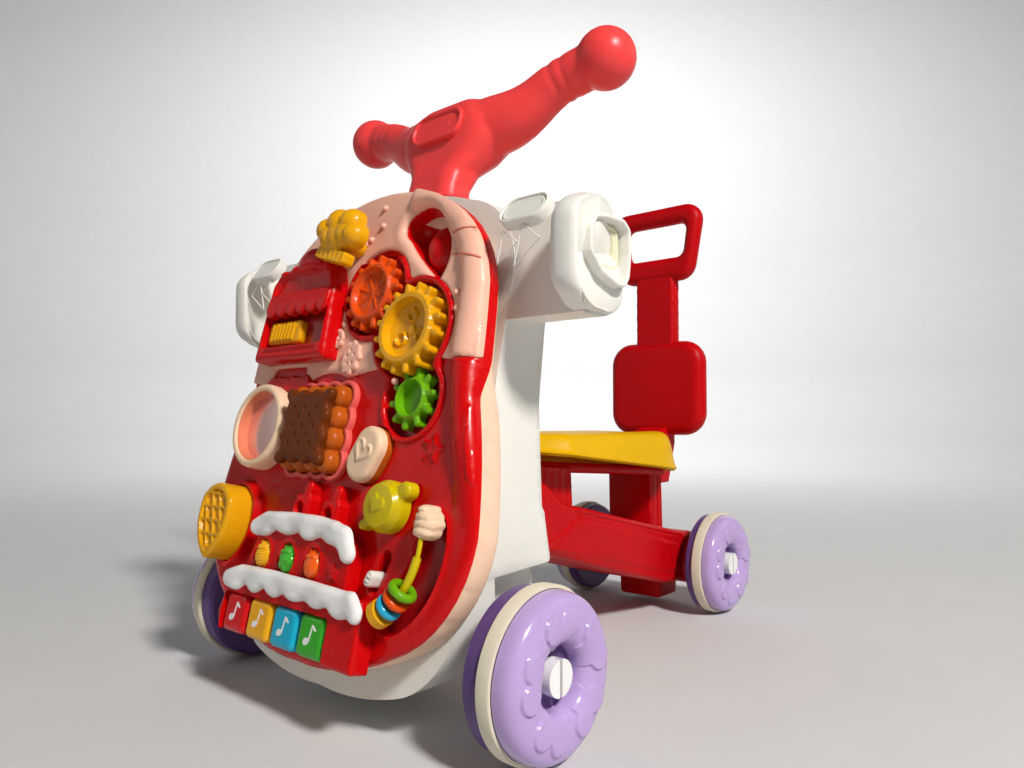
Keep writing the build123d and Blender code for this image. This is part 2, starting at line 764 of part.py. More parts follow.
def make_seat():
    """A shallow saddle, open underneath, with a flared skirt."""
    top_z = 207.0
    solid = loft([Pos(0, 0, 155) * seat_plan(0), Pos(0, 0, top_z) * seat_plan(9)])
    cavity = loft([Pos(0, 0, 150) * seat_plan(3), Pos(0, 0, top_z - 4) * seat_plan(12)])
    seat = solid - cavity
    below = across([(100, 192), (440, 161), (440, 100), (100, 100)], 120)
    seat = seat - below
    post = across([(160, deck_top + 11.5), (330, 176), (330, 204), (160, 204)], 24)
    return seat + (post & solid)


def make_backrest():
    """Backrest pad, push pole and D-shaped push handle in one moulding."""
    y = front_axle_y + 458.0
    pad = Pos(0, y, 259) * Rot(90, 0, 0) * extrude(RectangleRounded(130, 117, 26), 12, both=True)
    pole = Pos(0, y, 300) * Box(54, 20, 200)
    outer = RectangleRounded(136, 96, 24)
    hole = Pos(0, 1) * RectangleRounded(84, 44, 14)
    handle = Pos(0, y, 441) * Rot(90, 0, 0) * extrude(outer - hole, 10.5, both=True)
    stem = across([(424, 205), (468, 215), (468, 190), (452, 142), (396, 142), (396, 150), (424, 150)], 19)
    stem = stem - across([(400, 150.2), (423.5, 150.2), (423.5, 210), (400, 210)], 40)
    rest = pad + pole + handle + stem
    return rest - (Pos(0, y, 442) * Rot(90, 0, 0) * extrude(RectangleRounded(84, 44, 14), 40, both=True))


# ---- wheels ----------------------------------------------------------------------
def wheel_pieces(inner_x, tread_x, outer_x, hub_end_x, y):
    """The inner disc, the tread band and the lilac cover of one right-hand wheel."""
    z = wheel_radius
    half = tread_width / 2
    bore = along_x(inner_x - 5, outer_x + 5, axle_radius + axle_play, y, z)
    disc = along_x(inner_x, tread_x + half - 1, wheel_radius - 2.5, y, z)
    disc = disc - along_x(inner_x + 3, tread_x + half + 2, wheel_radius - 8, y, z)
    disc = disc + along_x(inner_x - 1.5, hub_end_x, 9, y, z)
    core = disc - bore
    tyre = along_x(tread_x - half, tread_x + half, wheel_radius, y, z)
    tyre = tyre - along_x(tread_x - half - 1, tread_x + half + 1, wheel_radius - 2.45, y, z)
    dome = wheel_cover(tread_x + half - 0.9, outer_x, y, z)
    return core, tyre, dome


def wheel_cover(x0, x1, y, z):
    """A doughnut-shaped cover with a round hole in its middle."""
    deep = x1 - x0
    outline = make_face([
        Line((21, 0), (51.5, 0)),
        ThreePointArc((51.5, 0), (49.5, deep * 0.62), (37, deep)),
        ThreePointArc((37, deep), (25.5, deep * 0.78), (21, deep * 0.35)),
        Line((21, deep * 0.35), (21, 0)),
    ])
    ring = revolve(Plane.XZ * outline, axis=Axis.Z)
    return Pos(x0, y, z) * Rot(0, 90, 0) * ring


def hub_cap(x0, x1, y, z):
    """A split snap-on cap on the end of an axle."""
    cap = along_x(x0, x1, 12, y, z)
    slot = Pos((x0 + x1) / 2 + 3, y, z) * Box(x1 - x0, 2.6, 30)
    return cap - slot - along_x(x0 - 1, x1 - 3, axle_radius, y, z)


def make_axle(half_length, cap_start, cap_end, y):
    """A steel axle with a snap-on cap at each end."""
    rod = along_x(-half_length, half_length, axle_radius, y, wheel_radius)
    cap = hub_cap(cap_start, cap_end, y, wheel_radius)
    return Compound(children=[rod, cap, mirrored(cap)])


# ---- write every piece -----------------------------------------------------------
def main():
    os.makedirs("parts", exist_ok=True)
    save("body_shell", make_body_shell())
    save("rear_cover", make_rear_cover())
    save("battery_door", make_battery_door())
    save("body_screws", make_body_screws())
    save("panel_tray", make_panel_tray())
    save("panel_base", make_panel_base())
    save("panel_fascia", make_panel_fascia())
    save("oven_body", make_oven_body())
    save("oven_slider", make_oven_slider())
    save("chef_hat", make_chef_hat())
    for name in GEARS:
        save(name, make_gear(name))
    save("mirror_ring", make_mirror_ring())
    save("mirror", make_mirror())
    save("biscuit_base", make_biscuit_base())
    save("biscuit_button", make_biscuit_button())
    save("popsicle_button", make_popsicle())
    save("pot_knob", make_pot_knob())
    save("waffle_button", make_waffle_button())
    save("ring_rail", make_rail())
    save("rail_top", make_rail_top())
    for name in RINGS:
        save(name, make_ring(name))
    save("power_switch", make_power_switch())
    save("cake_body", make_cake_body())
    save("cake_icing", make_cake_icing())
    for index in range(len(fruit_places)):
        save(f"fruit_button_{index + 1}", make_fruit(index))
    for index in range(key_count):
        save(f"piano_key_{index + 1}", make_key(index))
    arm_pieces = {
        "side_arm": make_side_arm(),
        "arm_end": make_arm_end(),
        "release_button": make_release_button(),
    }
    for kind, piece in arm_pieces.items():
        save(f"{kind}_right", piece)
        save(f"{kind}_left", mirrored(piece))
    save("handlebar", make_handlebar())
    save("chassis", make_chassis())
    save("seat", make_seat())
    save("backrest", make_backrest())
    save("steering_pin", make_steering_pin())
    save("front_axle", make_axle(184, 180, 189, front_axle_y))
    save("rear_axle", make_axle(106, 102, 110, rear_axle_y))
    front = wheel_pieces(151.5, front_tread_x, 195, 179.5, front_axle_y)
    rear = wheel_pieces(75, rear_tread_x, 112, 101.5, rear_axle_y)
    for end_name, pieces in (("front", front), ("rear", rear)):
        for kind, piece in zip(("wheel", "tyre", "wheel_cover"), pieces):
            save(f"{kind}_{end_name}_right", piece)
            save(f"{kind}_{end_name}_left", mirrored(piece))


main()
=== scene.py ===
import math
import re

import bpy
import numpy as np
from mathutils import Matrix, Vector
from mathutils.geometry import delaunay_2d_cdt


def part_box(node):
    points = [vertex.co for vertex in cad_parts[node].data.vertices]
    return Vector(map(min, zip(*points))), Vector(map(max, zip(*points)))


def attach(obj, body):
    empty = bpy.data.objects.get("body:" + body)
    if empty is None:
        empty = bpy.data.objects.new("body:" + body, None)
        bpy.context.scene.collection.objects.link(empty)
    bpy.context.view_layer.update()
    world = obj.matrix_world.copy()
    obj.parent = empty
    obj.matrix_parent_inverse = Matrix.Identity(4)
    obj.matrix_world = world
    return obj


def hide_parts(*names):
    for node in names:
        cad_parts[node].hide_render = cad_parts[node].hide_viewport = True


# Looks of the baby walker. Lengths in this script are millimetres until a mesh
# is written, which is in metres like the frame.
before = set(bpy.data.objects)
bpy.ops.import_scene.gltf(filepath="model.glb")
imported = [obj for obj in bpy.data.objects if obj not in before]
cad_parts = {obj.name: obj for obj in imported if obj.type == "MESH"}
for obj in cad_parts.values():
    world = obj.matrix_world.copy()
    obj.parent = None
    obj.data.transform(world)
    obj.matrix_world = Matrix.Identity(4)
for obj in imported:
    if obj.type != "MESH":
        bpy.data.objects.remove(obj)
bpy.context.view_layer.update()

MM = 0.001
TAU = 2 * math.pi


def middle(node):
    """The centre of a CAD node's box, in millimetres."""
    low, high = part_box(node)
    return (low + high) / 2 / MM


FRONT_AXLE = middle("tyre_front_right")
REAR_AXLE = middle("tyre_rear_right")
AXLE_Y = FRONT_AXLE.y
ARM_Y = middle("side_arm_right").y
ARM_Z = 329.0
PANEL_TILT = math.radians(12.5)
PANEL_FOOT = AXLE_Y - 78.8


# ---- places: local (u, v, h) to the row frame ------------------------------------
def place(origin, u_axis, v_axis, h_axis):
    """A plane to build on, as an origin and three axes."""
    return np.array(origin, float), np.array([u_axis, v_axis, h_axis], float)


def leaning(origin, angle):
    """A face across X that leans back from upright by an angle in radians."""
    sine, cosine = math.sin(angle), math.cos(angle)
    return place(origin, (1, 0, 0), (0, sine, cosine), (0, -cosine, sine))


SIN, COS = math.sin(PANEL_TILT), math.cos(PANEL_TILT)
PANEL = place((0, PANEL_FOOT, 0), (1, 0, 0), (0, SIN, COS), (0, -COS, SIN))
SIDE = place((0, AXLE_Y, 0), (0, 1, 0), (0, 0, 1), (1, 0, 0))


def set_on(points, where):
    origin, axes = where
    return origin + np.asarray(points, float) @ axes


# ---- flat shapes as signed distances, negative inside ------------------------------
def disc(centre, radius):
    return lambda p: np.hypot(p[:, 0] - centre[0], p[:, 1] - centre[1]) - radius


def oval(centre, wide, tall, turn=0.0):
    c, s = math.cos(math.radians(turn)), math.sin(math.radians(turn))

    def distance(p):
        x, y = p[:, 0] - centre[0], p[:, 1] - centre[1]
        a, b = (x * c + y * s) / wide, (y * c - x * s) / tall
        return (np.hypot(a, b) - 1) * min(wide, tall)

    return distance


def block(centre, wide, tall, radius=0.0, turn=0.0):
    c, s = math.cos(math.radians(turn)), math.sin(math.radians(turn))

    def distance(p):
        x, y = p[:, 0] - centre[0], p[:, 1] - centre[1]
        a = np.abs(x * c + y * s) - wide / 2 + radius
        b = np.abs(y * c - x * s) - tall / 2 + radius
        return (
            np.hypot(np.maximum(a, 0), np.maximum(b, 0)) + np.minimum(np.maximum(a, b), 0) - radius
        )

    return distance


def stroke(points, radius):
    """A line of a width through the points, with round ends."""
    points = [np.array(q, float) for q in points]

    def distance(p):
        best = np.full(len(p), 1e9)
        for a, b in zip(points[:-1], points[1:]):
            ab = b - a
            t = np.clip(((p - a) @ ab) / (ab @ ab), 0, 1)
            best = np.minimum(best, np.linalg.norm(p - a - t[:, None] * ab, axis=1))
        return best - radius

    return distance


def polygon(points):
    points = np.array(points, float)

    def distance(p):
        best, inside = np.full(len(p), 1e9), np.zeros(len(p), bool)
        for a, b in zip(points, np.roll(points, -1, axis=0)):
            ab = b - a
            length = ab @ ab
            if length < 1e-9:
                continue
            t = np.clip(((p - a) @ ab) / length, 0, 1)
            best = np.minimum(best, np.linalg.norm(p - a - t[:, None] * ab, axis=1))
            over = (a[1] > p[:, 1]) != (b[1] > p[:, 1])
            if abs(ab[1]) > 1e-12:
                inside ^= over & (p[:, 0] < a[0] + (p[:, 1] - a[1]) * ab[0] / ab[1])
        return np.where(inside, -best, best)

    return distance


def star(centre, points, outer, inner, turn=90.0):
    spokes = []
    for i in range(2 * points):
        angle = math.radians(turn + i * 180 / points)
        reach = outer if i % 2 == 0 else inner
        spokes.append((centre[0] + reach * math.cos(angle), centre[1] + reach * math.sin(angle)))
    return polygon(spokes)


def heart(centre, size, turn=0.0):
    c, s = math.cos(math.radians(turn)), math.sin(math.radians(turn))
    points = []
    for i in range(48):
        t = TAU * i / 48
        x = 16 * math.sin(t) ** 3
        y = 13 * math.cos(t) - 5 * math.cos(2 * t) - 2 * math.cos(3 * t) - math.cos(4 * t)
        points.append(
            (centre[0] + (x * c - y * s) * size / 32, centre[1] + (x * s + y * c) * size / 32)
        )
    return polygon(points)


def join(*shapes, soft=0.0):
    """The union of shapes, with a fillet of about soft where they meet."""

    def distance(p):
        best = shapes[0](p)
        for shape in shapes[1:]:
            other = shape(p)
            if soft:
                mix = np.maximum(soft - np.abs(best - other), 0) / soft
                best = np.minimum(best, other) - mix * mix * soft / 4
            else:
                best = np.minimum(best, other)
        return best

    return distance


def cut(shape, *holes):
    return lambda p: np.maximum(shape(p), -np.min([h(p) for h in holes], axis=0))


def overlap(*shapes):
    return lambda p: np.max([s(p) for s in shapes], axis=0)


def grow(shape, amount):
    return lambda p: shape(p) - amount


def arc(a, b, c, steps=10):
    """Points from a to c on the circle through a, b and c, without the last one."""
    (ax, ay), (bx, by), (cx, cy) = a, b, c
    d = 2 * (ax * (by - cy) + bx * (cy - ay) + cx * (ay - by))
    ux = (
        (ax**2 + ay**2) * (by - cy) + (bx**2 + by**2) * (cy - ay) + (cx**2 + cy**2) * (ay - by)
    ) / d
    uy = (
        (ax**2 + ay**2) * (cx - bx) + (bx**2 + by**2) * (ax - cx) + (cx**2 + cy**2) * (bx - ax)
    ) / d
    radius = math.hypot(ax - ux, ay - uy)
    start = math.atan2(ay - uy, ax - ux)
    span = (math.atan2(cy - uy, cx - ux) - start) % TAU
    through = (math.atan2(by - uy, bx - ux) - start) % TAU
    if through > span:
        span -= TAU
    return [
        (
            ux + radius * math.cos(start + span * i / steps),
            uy + radius * math.sin(start + span * i / steps)
        )
        for i in range(steps)
    ]


def arcs(*triples, steps=10):
    return [q for a, b, c in triples for q in arc(a, b, c, steps)]


def sampled(shape, low, high, step=1.0):
    """The same shape, read from a grid of distances, which is quicker for many points."""
    xs = np.arange(low[0], high[0] + step, step)
    ys = np.arange(low[1], high[1] + step, step)
    gx, gy = np.meshgrid(xs, ys, indexing="ij")
    table = shape(np.column_stack([gx.ravel(), gy.ravel()])).reshape(gx.shape)

    def distance(p):
        a = np.clip((p[:, 0] - xs[0]) / step, 0, len(xs) - 1.001)
        b = np.clip((p[:, 1] - ys[0]) / step, 0, len(ys) - 1.001)
        i, j = a.astype(int), b.astype(int)
        s, t = a - i, b - j
        near = table[i, j] * (1 - t) + table[i, j + 1] * t
        far = table[i + 1, j] * (1 - t) + table[i + 1, j + 1] * t
        return near * (1 - s) + far * s

    return distance


# ---- contours of a flat shape -------------------------------------------------------
GRIDS = {}


def grid_of(shape, low, high, step):
    """A shape's distances on a grid, kept so that several levels share them."""
    key = (id(shape), tuple(low), tuple(high), step)
    if key not in GRIDS:
        xs = np.arange(low[0], high[0] + step, step)
        ys = np.arange(low[1], high[1] + step, step)
        gx, gy = np.meshgrid(xs, ys, indexing="ij")
        GRIDS[key] = shape, xs, ys, shape(
            np.column_stack([gx.ravel(), gy.ravel()])
        ).reshape(gx.shape)
    return GRIDS[key][1:]


def contour(shape, low, high, step, level=0.0):
    """The closed lines on which a flat shape's distance equals level."""
    xs, ys, table = grid_of(shape, low, high, step)
    value = table - level
    value[np.abs(value) < 1e-7] = 1e-7
    inside = value < 0
    links, spots = {}, {}

    def crossing(i0, j0, i1, j1):
        key = (i0, j0, i1, j1)
        if key not in spots:
            t = value[i0, j0] / (value[i0, j0] - value[i1, j1])
            spots[key] = (xs[i0] + t * (xs[i1] - xs[i0]), ys[j0] + t * (ys[j1] - ys[j0]))
        return key

    count = inside[:-1, :-1].astype(int) + inside[1:, :-1] + inside[1:, 1:] + inside[:-1, 1:]
    for i, j in zip(*np.nonzero((count > 0) & (count < 4))):
        found = []
        for i0, j0, i1, j1 in (
            (i, j, i + 1, j), (i + 1, j, i + 1, j + 1), (i, j + 1, i + 1, j + 1), (i, j, i, j + 1)
        ):
            if inside[i0, j0] != inside[i1, j1]:
                found.append(crossing(i0, j0, i1, j1))
        for a, b in zip(found[::2], found[1::2]):
            links.setdefault(a, []).append(b)
            links.setdefault(b, []).append(a)
    loops = []
    while links:
        start = next(iter(links))
        loop, here = [start], start
        while True:
            onward = links.pop(here, [])
            onward = [
                k for k in onward if k in links and (k != loop[-2] if len(loop) > 1 else True)
            ]
            if not onward:
                break
            here = onward[0]
            loop.append(here)
        if len(loop) > 5:
            loops.append(np.array([spots[k] for k in loop]))
    return sorted(loops, key=len, reverse=True)


def rounded(shape, radius, low, high):
    """The shape with its corners rounded."""
    loop = max(contour(shape, low, high, 0.7, -radius), key=len)
    return grow(polygon(loop), radius)


def evenly(loop, spacing):
    """A closed line with its points at an even spacing, slightly smoothed."""
    closed = np.vstack([loop, loop[:1]])
    run = np.concatenate([[0], np.cumsum(np.linalg.norm(np.diff(closed, axis=0), axis=1))])
    count = max(8, int(round(run[-1] / spacing)))
    at = np.linspace(0, run[-1], count, endpoint=False)
    even = np.column_stack([np.interp(at, run, closed[:, k]) for k in (0, 1)])
    return (np.roll(even, 1, axis=0) + np.roll(even, -1, axis=0) + 6 * even) / 8


def within(points, loops):
    """Which points are inside an odd number of the closed lines."""
    inside = np.zeros(len(points), bool)
    for loop in loops:
        for a, b in zip(loop, np.roll(loop, -1, axis=0)):
            if a[1] == b[1]:
                continue
            over = (a[1] > points[:, 1]) != (b[1] > points[:, 1])
            inside ^= over & (
                points[:, 0] < a[0] + (points[:, 1] - a[1]) * (b[0] - a[0]) / (b[1] - a[1])
            )
    return inside


def drop(depth, radius):
    """How far a rounded edge falls below its face, at a depth in from the edge."""
    d = np.clip(depth, 0, radius)
    return radius - np.sqrt(np.maximum(radius**2 - (radius - d) ** 2, 0))


def dome_over(p, u, v, radius):
    """The height of a unit dome over (u, v) that falls to 0 at a radius."""
    return np.sqrt(np.clip(1 - ((p[:, 0] - u) ** 2 + (p[:, 1] - v) ** 2) / radius**2, 0, 1))


def box_around(centre, west, south, east, north):
    """The corners of a box given by its reach each way from a place."""
    return (centre[0] + west, centre[1] + south), (centre[0] + east, centre[1] + north)


def edge_levels(radius, steps=5):
    return [radius * (1 - math.cos(math.pi / 2 * (i + 1) / steps)) for i in range(steps)]


def bump(distance, width):
    """1 well inside a shape, 0 outside it, with a smooth step of a width at its edge."""
    t = np.clip(0.5 - distance / width, 0, 1)
    return t * t * (3 - 2 * t)


# ---- solids -------------------------------------------------------------------------
def relief(shape, low, high, top, bottom, spacing=2.0, edge=0.0, lines=(), step=None):
    """A closed plate: an outline, with heights that are functions of the place and the
    depth in from the outline. lines are (shape, level) pairs that the mesh follows."""
    step = step or min(spacing, 1.2)
    rims = [evenly(loop, spacing) for loop in contour(shape, low, high, step)]
    points, constraints = [], []
    for rim in rims:
        first = len(points)
        points += [tuple(q) for q in rim]
        constraints += [(first + i, first + (i + 1) % len(rim)) for i in range(len(rim))]
    rim_count = len(points)
    inner = [(shape, -level) for level in (edge_levels(edge) if edge else [])] + list(lines)
    for other, level in inner:
        for loop in contour(other, low, high, step, level):
            even = evenly(loop, spacing * 1.2)
            keep = shape(even) < -0.12
            points += [tuple(q) for q in even[keep]]
    gx, gy = np.meshgrid(np.arange(low[0], high[0], spacing), np.arange(low[1], high[1], spacing))
    grid = np.column_stack([gx.ravel(), gy.ravel()])
    grid[:, 0] += (np.round((grid[:, 1] - low[1]) / spacing) % 2) * spacing * 0.5
    keep = shape(grid) < -max(edge * 1.02, 0) - 0.55 * spacing
    for other, level in lines:
        keep &= np.abs(other(grid) - level) > 0.45 * spacing
    points += [tuple(q) for q in grid[keep]]
    out, _, tris, sources, _, _ = delaunay_2d_cdt(
        [Vector(q) for q in points], constraints, [], 0, 1e-4
    )
    flat = np.array([(q.x, q.y) for q in out])
    tris = np.array([t for t in tris], int)
    centres = flat[tris].mean(axis=1)
    away = shape(centres)
    inside = away < 0
    unsure = np.abs(away) < 1.5
    inside[unsure] = within(centres[unsure], rims)
    tris = tris[inside]
    a, b, c = flat[tris[:, 0]], flat[tris[:, 1]], flat[tris[:, 2]]
    area = (b[:, 0] - a[:, 0]) * (c[:, 1] - a[:, 1]) - (b[:, 1] - a[:, 1]) * (c[:, 0] - a[:, 0])
    tris[area < 0] = tris[area < 0][:, ::-1]
    depth = np.maximum(-shape(flat), 0)
    home = {
        source: index for index, ids in enumerate(sources) for source in ids if source < rim_count
    }
    depth[list(home.values())] = 0
    low_face = bottom(flat, depth) if callable(bottom) else np.full(len(flat), float(bottom))
    high_face = top(flat, depth) if callable(top) else np.full(len(flat), float(top))
    count = len(flat)
    vertices = np.vstack([np.column_stack([flat, high_face]), np.column_stack([flat, low_face])])
    faces = [tuple(t) for t in tris]
    if callable(bottom):
        faces += [tuple(t[::-1] + count) for t in tris]
    edges = {}
    for t in tris:
        for i, j in ((t[0], t[1]), (t[1], t[2]), (t[2], t[0])):
            edges[(i, j)] = True
    border = [(i, j) for i, j in edges if (j, i) not in edges]
    faces += [(j, i, i + count, j + count) for i, j in border]
    if not callable(bottom):
        faces += under_faces(rims, flat, count, border)
    return vertices, faces


def under_faces(rims, flat, count, border):
    """The flat underside of a plate, made from its outline alone."""
    ids = sorted({i for pair in border for i in pair})
    spot = {index: k for k, index in enumerate(ids)}
    pairs = [(spot[i], spot[j]) for i, j in border]
    out, _, tris, sources, _, _ = delaunay_2d_cdt(
        [Vector(flat[i]) for i in ids], pairs, [], 0, 1e-5
    )
    back = [ids[s[0]] if s else None for s in sources]
    faces = []
    for t in tris:
        corners = [back[i] for i in t]
        if None in corners:
            continue
        faces.append(corners)
    inside = within(flat[np.array(faces)].mean(axis=1), rims)
    kept = []
    for corners in np.array(faces)[inside]:
        a, b, c = flat[corners]
        if (b[0] - a[0]) * (c[1] - a[1]) - (b[1] - a[1]) * (c[0] - a[0]) > 0:
            corners = corners[::-1]
        kept.append(tuple(int(i) + count for i in corners))
    return kept


def lathe(profile, steps=64, closed=True):
    """A (radius, height) profile turned about the height axis. A closed profile makes a ring."""
    profile = np.array(profile, float)
    vertices, faces = [], []
    rows = len(profile)
    for i in range(steps):
        angle = TAU * i / steps
        for r, h in profile:
            vertices.append((r * math.cos(angle), r * math.sin(angle), h))
    spans = range(rows) if closed else range(rows - 1)
    for i in range(steps):
        k = (i + 1) % steps
        for j in spans:
            n = (j + 1) % rows
            faces.append((i * rows + j, k * rows + j, k * rows + n, i * rows + n))
    return np.array(vertices), faces


def loft(rings, caps=True):
    """A skin over rings that each have the same number of points."""
    size = len(rings[0])
    vertices = np.vstack(rings)
    faces = []
    for r in range(len(rings) - 1):
        for i in range(size):
            k = (i + 1) % size
            faces.append((r * size + i, r * size + k, (r + 1) * size + k, (r + 1) * size + i))
    if caps:
        faces.append(tuple(range(size))[::-1])
        last = (len(rings) - 1) * size
        faces.append(tuple(range(last, last + size)))
    return vertices, faces


def rounded_ring(wide, tall, radius, steps=6):
    """A rounded rectangle's points, anticlockwise about its middle."""
    radius = min(radius, wide / 2 - 0.01, tall / 2 - 0.01)
    points = []
    for quarter, (sx, sy) in enumerate(((1, 1), (-1, 1), (-1, -1), (1, -1))):
        for i in range(steps + 1):
            angle = math.pi / 2 * (quarter + i / steps)
            points.append((
                sx * (wide / 2 - radius) + radius * math.cos(angle),
                sy * (tall / 2 - radius) + radius * math.sin(angle),
            ))
    return np.array(points)


def tube(path, radius, steps=20, up=(0, 0, 1)):
    """A round bar along a path. radius is one number or one for each point."""
    path = np.array(path, float)
    radii = np.full(len(path), float(radius)) if np.isscalar(radius) else np.array(radius, float)
    along = np.gradient(path, axis=0)
    along /= np.linalg.norm(along, axis=1)[:, None]
    rings = []
    for spot, direction, r in zip(path, along, radii):
        side = np.cross(direction, up)
        side /= np.linalg.norm(side)
        other = np.cross(side, direction)
        angles = np.linspace(0, TAU, steps, endpoint=False)
        rings.append(spot + r * (np.cos(angles)[:, None] * side + np.sin(angles)[:, None] * other))
    return loft(rings[::-1])


def ball(centre, radii, steps=32):
    """A stretched sphere as a lathe with its poles closed."""
    profile = [
        (math.sin(math.pi * i / (steps // 2)), -math.cos(math.pi * i / (steps // 2)))
        for i in range(steps // 2 + 1)
    ]
    profile[0], profile[-1] = (1e-3, -1), (1e-3, 1)
    vertices, faces = lathe(profile, steps, closed=False)
    rows = len(profile)
    faces.append(tuple(i * rows for i in range(steps))[::-1])
    faces.append(tuple(i * rows + rows - 1 for i in range(steps)))
    return np.array(centre) + vertices * np.array(radii), faces


def combine(*solids):
    vertices, faces, count = [], [], 0
    for points, polygons in solids:
        vertices.append(points)
        faces += [tuple(int(i) + count for i in f) for f in polygons]
        count += len(points)
    return np.vstack(vertices), faces


def turned(solid, where):
    return set_on(solid[0], where), solid[1]


def shifted(solid, centre):
    """A solid moved along the panel to a (u, v) place."""
    return solid[0] + np.array([*centre, 0]), solid[1]


def mirror_x(solid):
    return solid[0] * np.array([-1, 1, 1]), [tuple(f)[::-1] for f in solid[1]]


# ---- pieces --------------------------------------------------------------------------
def mesh_of(name, solid):
    """A solid as a smooth-shaded mesh in metres."""
    mesh = bpy.data.meshes.new(name)
    mesh.from_pydata(
        (np.asarray(solid[0]) * MM).tolist(), [], [[int(i) for i in f] for f in solid[1]]
    )
    mesh.validate()
    for face in mesh.polygons:
        face.use_smooth = True
    return mesh


def show(mesh, material, body, replaces):
    """A mesh as a piece that rides on a body and stands for CAD nodes."""
    piece = bpy.data.objects.new(mesh.name, mesh)
    bpy.context.scene.collection.objects.link(piece)
    mesh.materials.append(material)
    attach(piece, body)
    if replaces:
        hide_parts(*replaces)
    re.split("_plastic|_metal|_film", material.name)[0]
    return piece


def make(name, solid, material, body="front", replaces=(), crease=38.0, where=None):
    """Write a solid as a piece, with edges sharper than crease degrees kept sharp."""
    mesh = mesh_of(name, turned(solid, where) if where else solid)
    mesh.set_sharp_from_angle(angle=math.radians(crease))
    return show(mesh, material, body, replaces)


def fused(name, solids, material, voxel, smooth, body="front", replaces=(), where=None):
    """Solids that overlap, merged into one skin with soft inner corners."""
    solid = combine(*solids)
    raw = bpy.data.objects.new(
        name + "_raw", mesh_of(name + "_raw", turned(solid, where) if where else solid)
    )
    bpy.context.scene.collection.objects.link(raw)
    merge = raw.modifiers.new("merge", "REMESH")
    merge.mode = "VOXEL"
    merge.voxel_size = voxel * MM
    soften = raw.modifiers.new("soften", "SMOOTH")
    soften.factor = 0.5
    soften.iterations = smooth
    bpy.context.view_layer.update()
    mesh = bpy.data.meshes.new_from_object(raw.evaluated_get(bpy.context.evaluated_depsgraph_get()))
    bpy.data.objects.remove(raw)
    mesh.name = name
    for face in mesh.polygons:
        face.use_smooth = True
    return show(mesh, material, body, replaces)




# ---- materials ---------------------------------------------------------------------
def plastic(
    name, colour, rough=0.3, shade=0.10, grain=0.04, grain_scale=900.0, coat=0.0, glow=0.0,
    ripple=0.0, gloss=0.25
):
    """Moulded plastic: a slightly uneven tint, a fine surface grain, and roughness that
    wanders as on a handled toy."""
    material = bpy.data.materials.new(name)
    material.use_nodes = True
    nodes, links = material.node_tree.nodes, material.node_tree.links
    shader = nodes["Principled BSDF"]
    place_in = nodes.new("ShaderNodeTexCoord")

    def noise(scale, detail):
        node = nodes.new("ShaderNodeTexNoise")
        node.inputs["Scale"].default_value = scale
        node.inputs["Detail"].default_value = detail
        links.new(place_in.outputs["Object"], node.inputs["Vector"])
        return node

    def uneven(source, strength, distance):
        node = nodes.new("ShaderNodeBump")
        node.inputs["Strength"].default_value = strength
        node.inputs["Distance"].default_value = distance
        links.new(source.outputs["Fac"], node.inputs["Height"])
        return node

    cloud = noise(14.0, 5.0)
    cloud.inputs["Roughness"].default_value = 0.6
    tint = nodes.new("ShaderNodeValToRGB")
    deep = tuple(c * (1 - shade) for c in colour)
    light = tuple(min(0.95, c * (1 + shade * 0.4)) for c in colour)
    tint.color_ramp.elements[0].position = 0.3
    tint.color_ramp.elements[0].color = (*deep, 1)
    tint.color_ramp.elements[1].position = 0.72
    tint.color_ramp.elements[1].color = (*light, 1)
    links.new(cloud.outputs["Fac"], tint.inputs["Fac"])
    links.new(tint.outputs["Color"], shader.inputs["Base Color"])
    rub = nodes.new("ShaderNodeMapRange")
    rub.inputs["From Min"].default_value = 0.3
    rub.inputs["From Max"].default_value = 0.7
    rub.inputs["To Min"].default_value = max(0.03, rough - 0.05)
    rub.inputs["To Max"].default_value = min(1.0, rough + 0.08)
    links.new(noise(45.0, 6.0).outputs["Fac"], rub.inputs["Value"])
    links.new(rub.outputs["Result"], shader.inputs["Roughness"])
    last = uneven(noise(grain_scale, 3.0), grain, 0.0004)
    if ripple:
        sink = uneven(noise(22.0, 1.5), ripple, 0.004)
        links.new(last.outputs["Normal"], sink.inputs["Normal"])
        last = sink
    links.new(last.outputs["Normal"], shader.inputs["Normal"])
    shader.inputs["IOR"].default_value = 1.5
    shader.inputs["Specular IOR Level"].default_value = gloss
    shader.inputs["Coat Weight"].default_value = coat
    shader.inputs["Coat Roughness"].default_value = 0.08
    shader.inputs["Subsurface Weight"].default_value = glow
    shader.inputs["Subsurface Radius"].default_value = (0.006, 0.003, 0.002)
    shader.inputs["Subsurface Scale"].default_value = 0.6
    return material


def metal(name, colour, rough):
    """Drawn steel: metallic, with a fine noise grain."""
    material = plastic(name, colour, rough, shade=0.15, grain=0.1, grain_scale=300)
    material.node_tree.nodes["Principled BSDF"].inputs["Metallic"].default_value = 1.0
    return material


def glitter_mirror(name):
    """A pinkish reflecting disc with fine sparkles in it."""
    material = plastic(name, (0.86, 0.55, 0.50), 0.22, shade=0.12, grain=0.02)
    nodes, links = material.node_tree.nodes, material.node_tree.links
    shader = nodes["Principled BSDF"]
    shader.inputs["Metallic"].default_value = 0.75
    shader.inputs["Coat Weight"].default_value = 0.6
    specks = nodes.new("ShaderNodeTexVoronoi")
    specks.inputs["Scale"].default_value = 420.0
    links.new(nodes["Texture Coordinate"].outputs["Object"], specks.inputs["Vector"])
    lift = nodes.new("ShaderNodeBump")
    lift.inputs["Strength"].default_value = 0.12
    lift.inputs["Distance"].default_value = 0.0006
    links.new(specks.outputs["Distance"], lift.inputs["Height"])
    links.new(lift.outputs["Normal"], shader.inputs["Normal"])
    return material


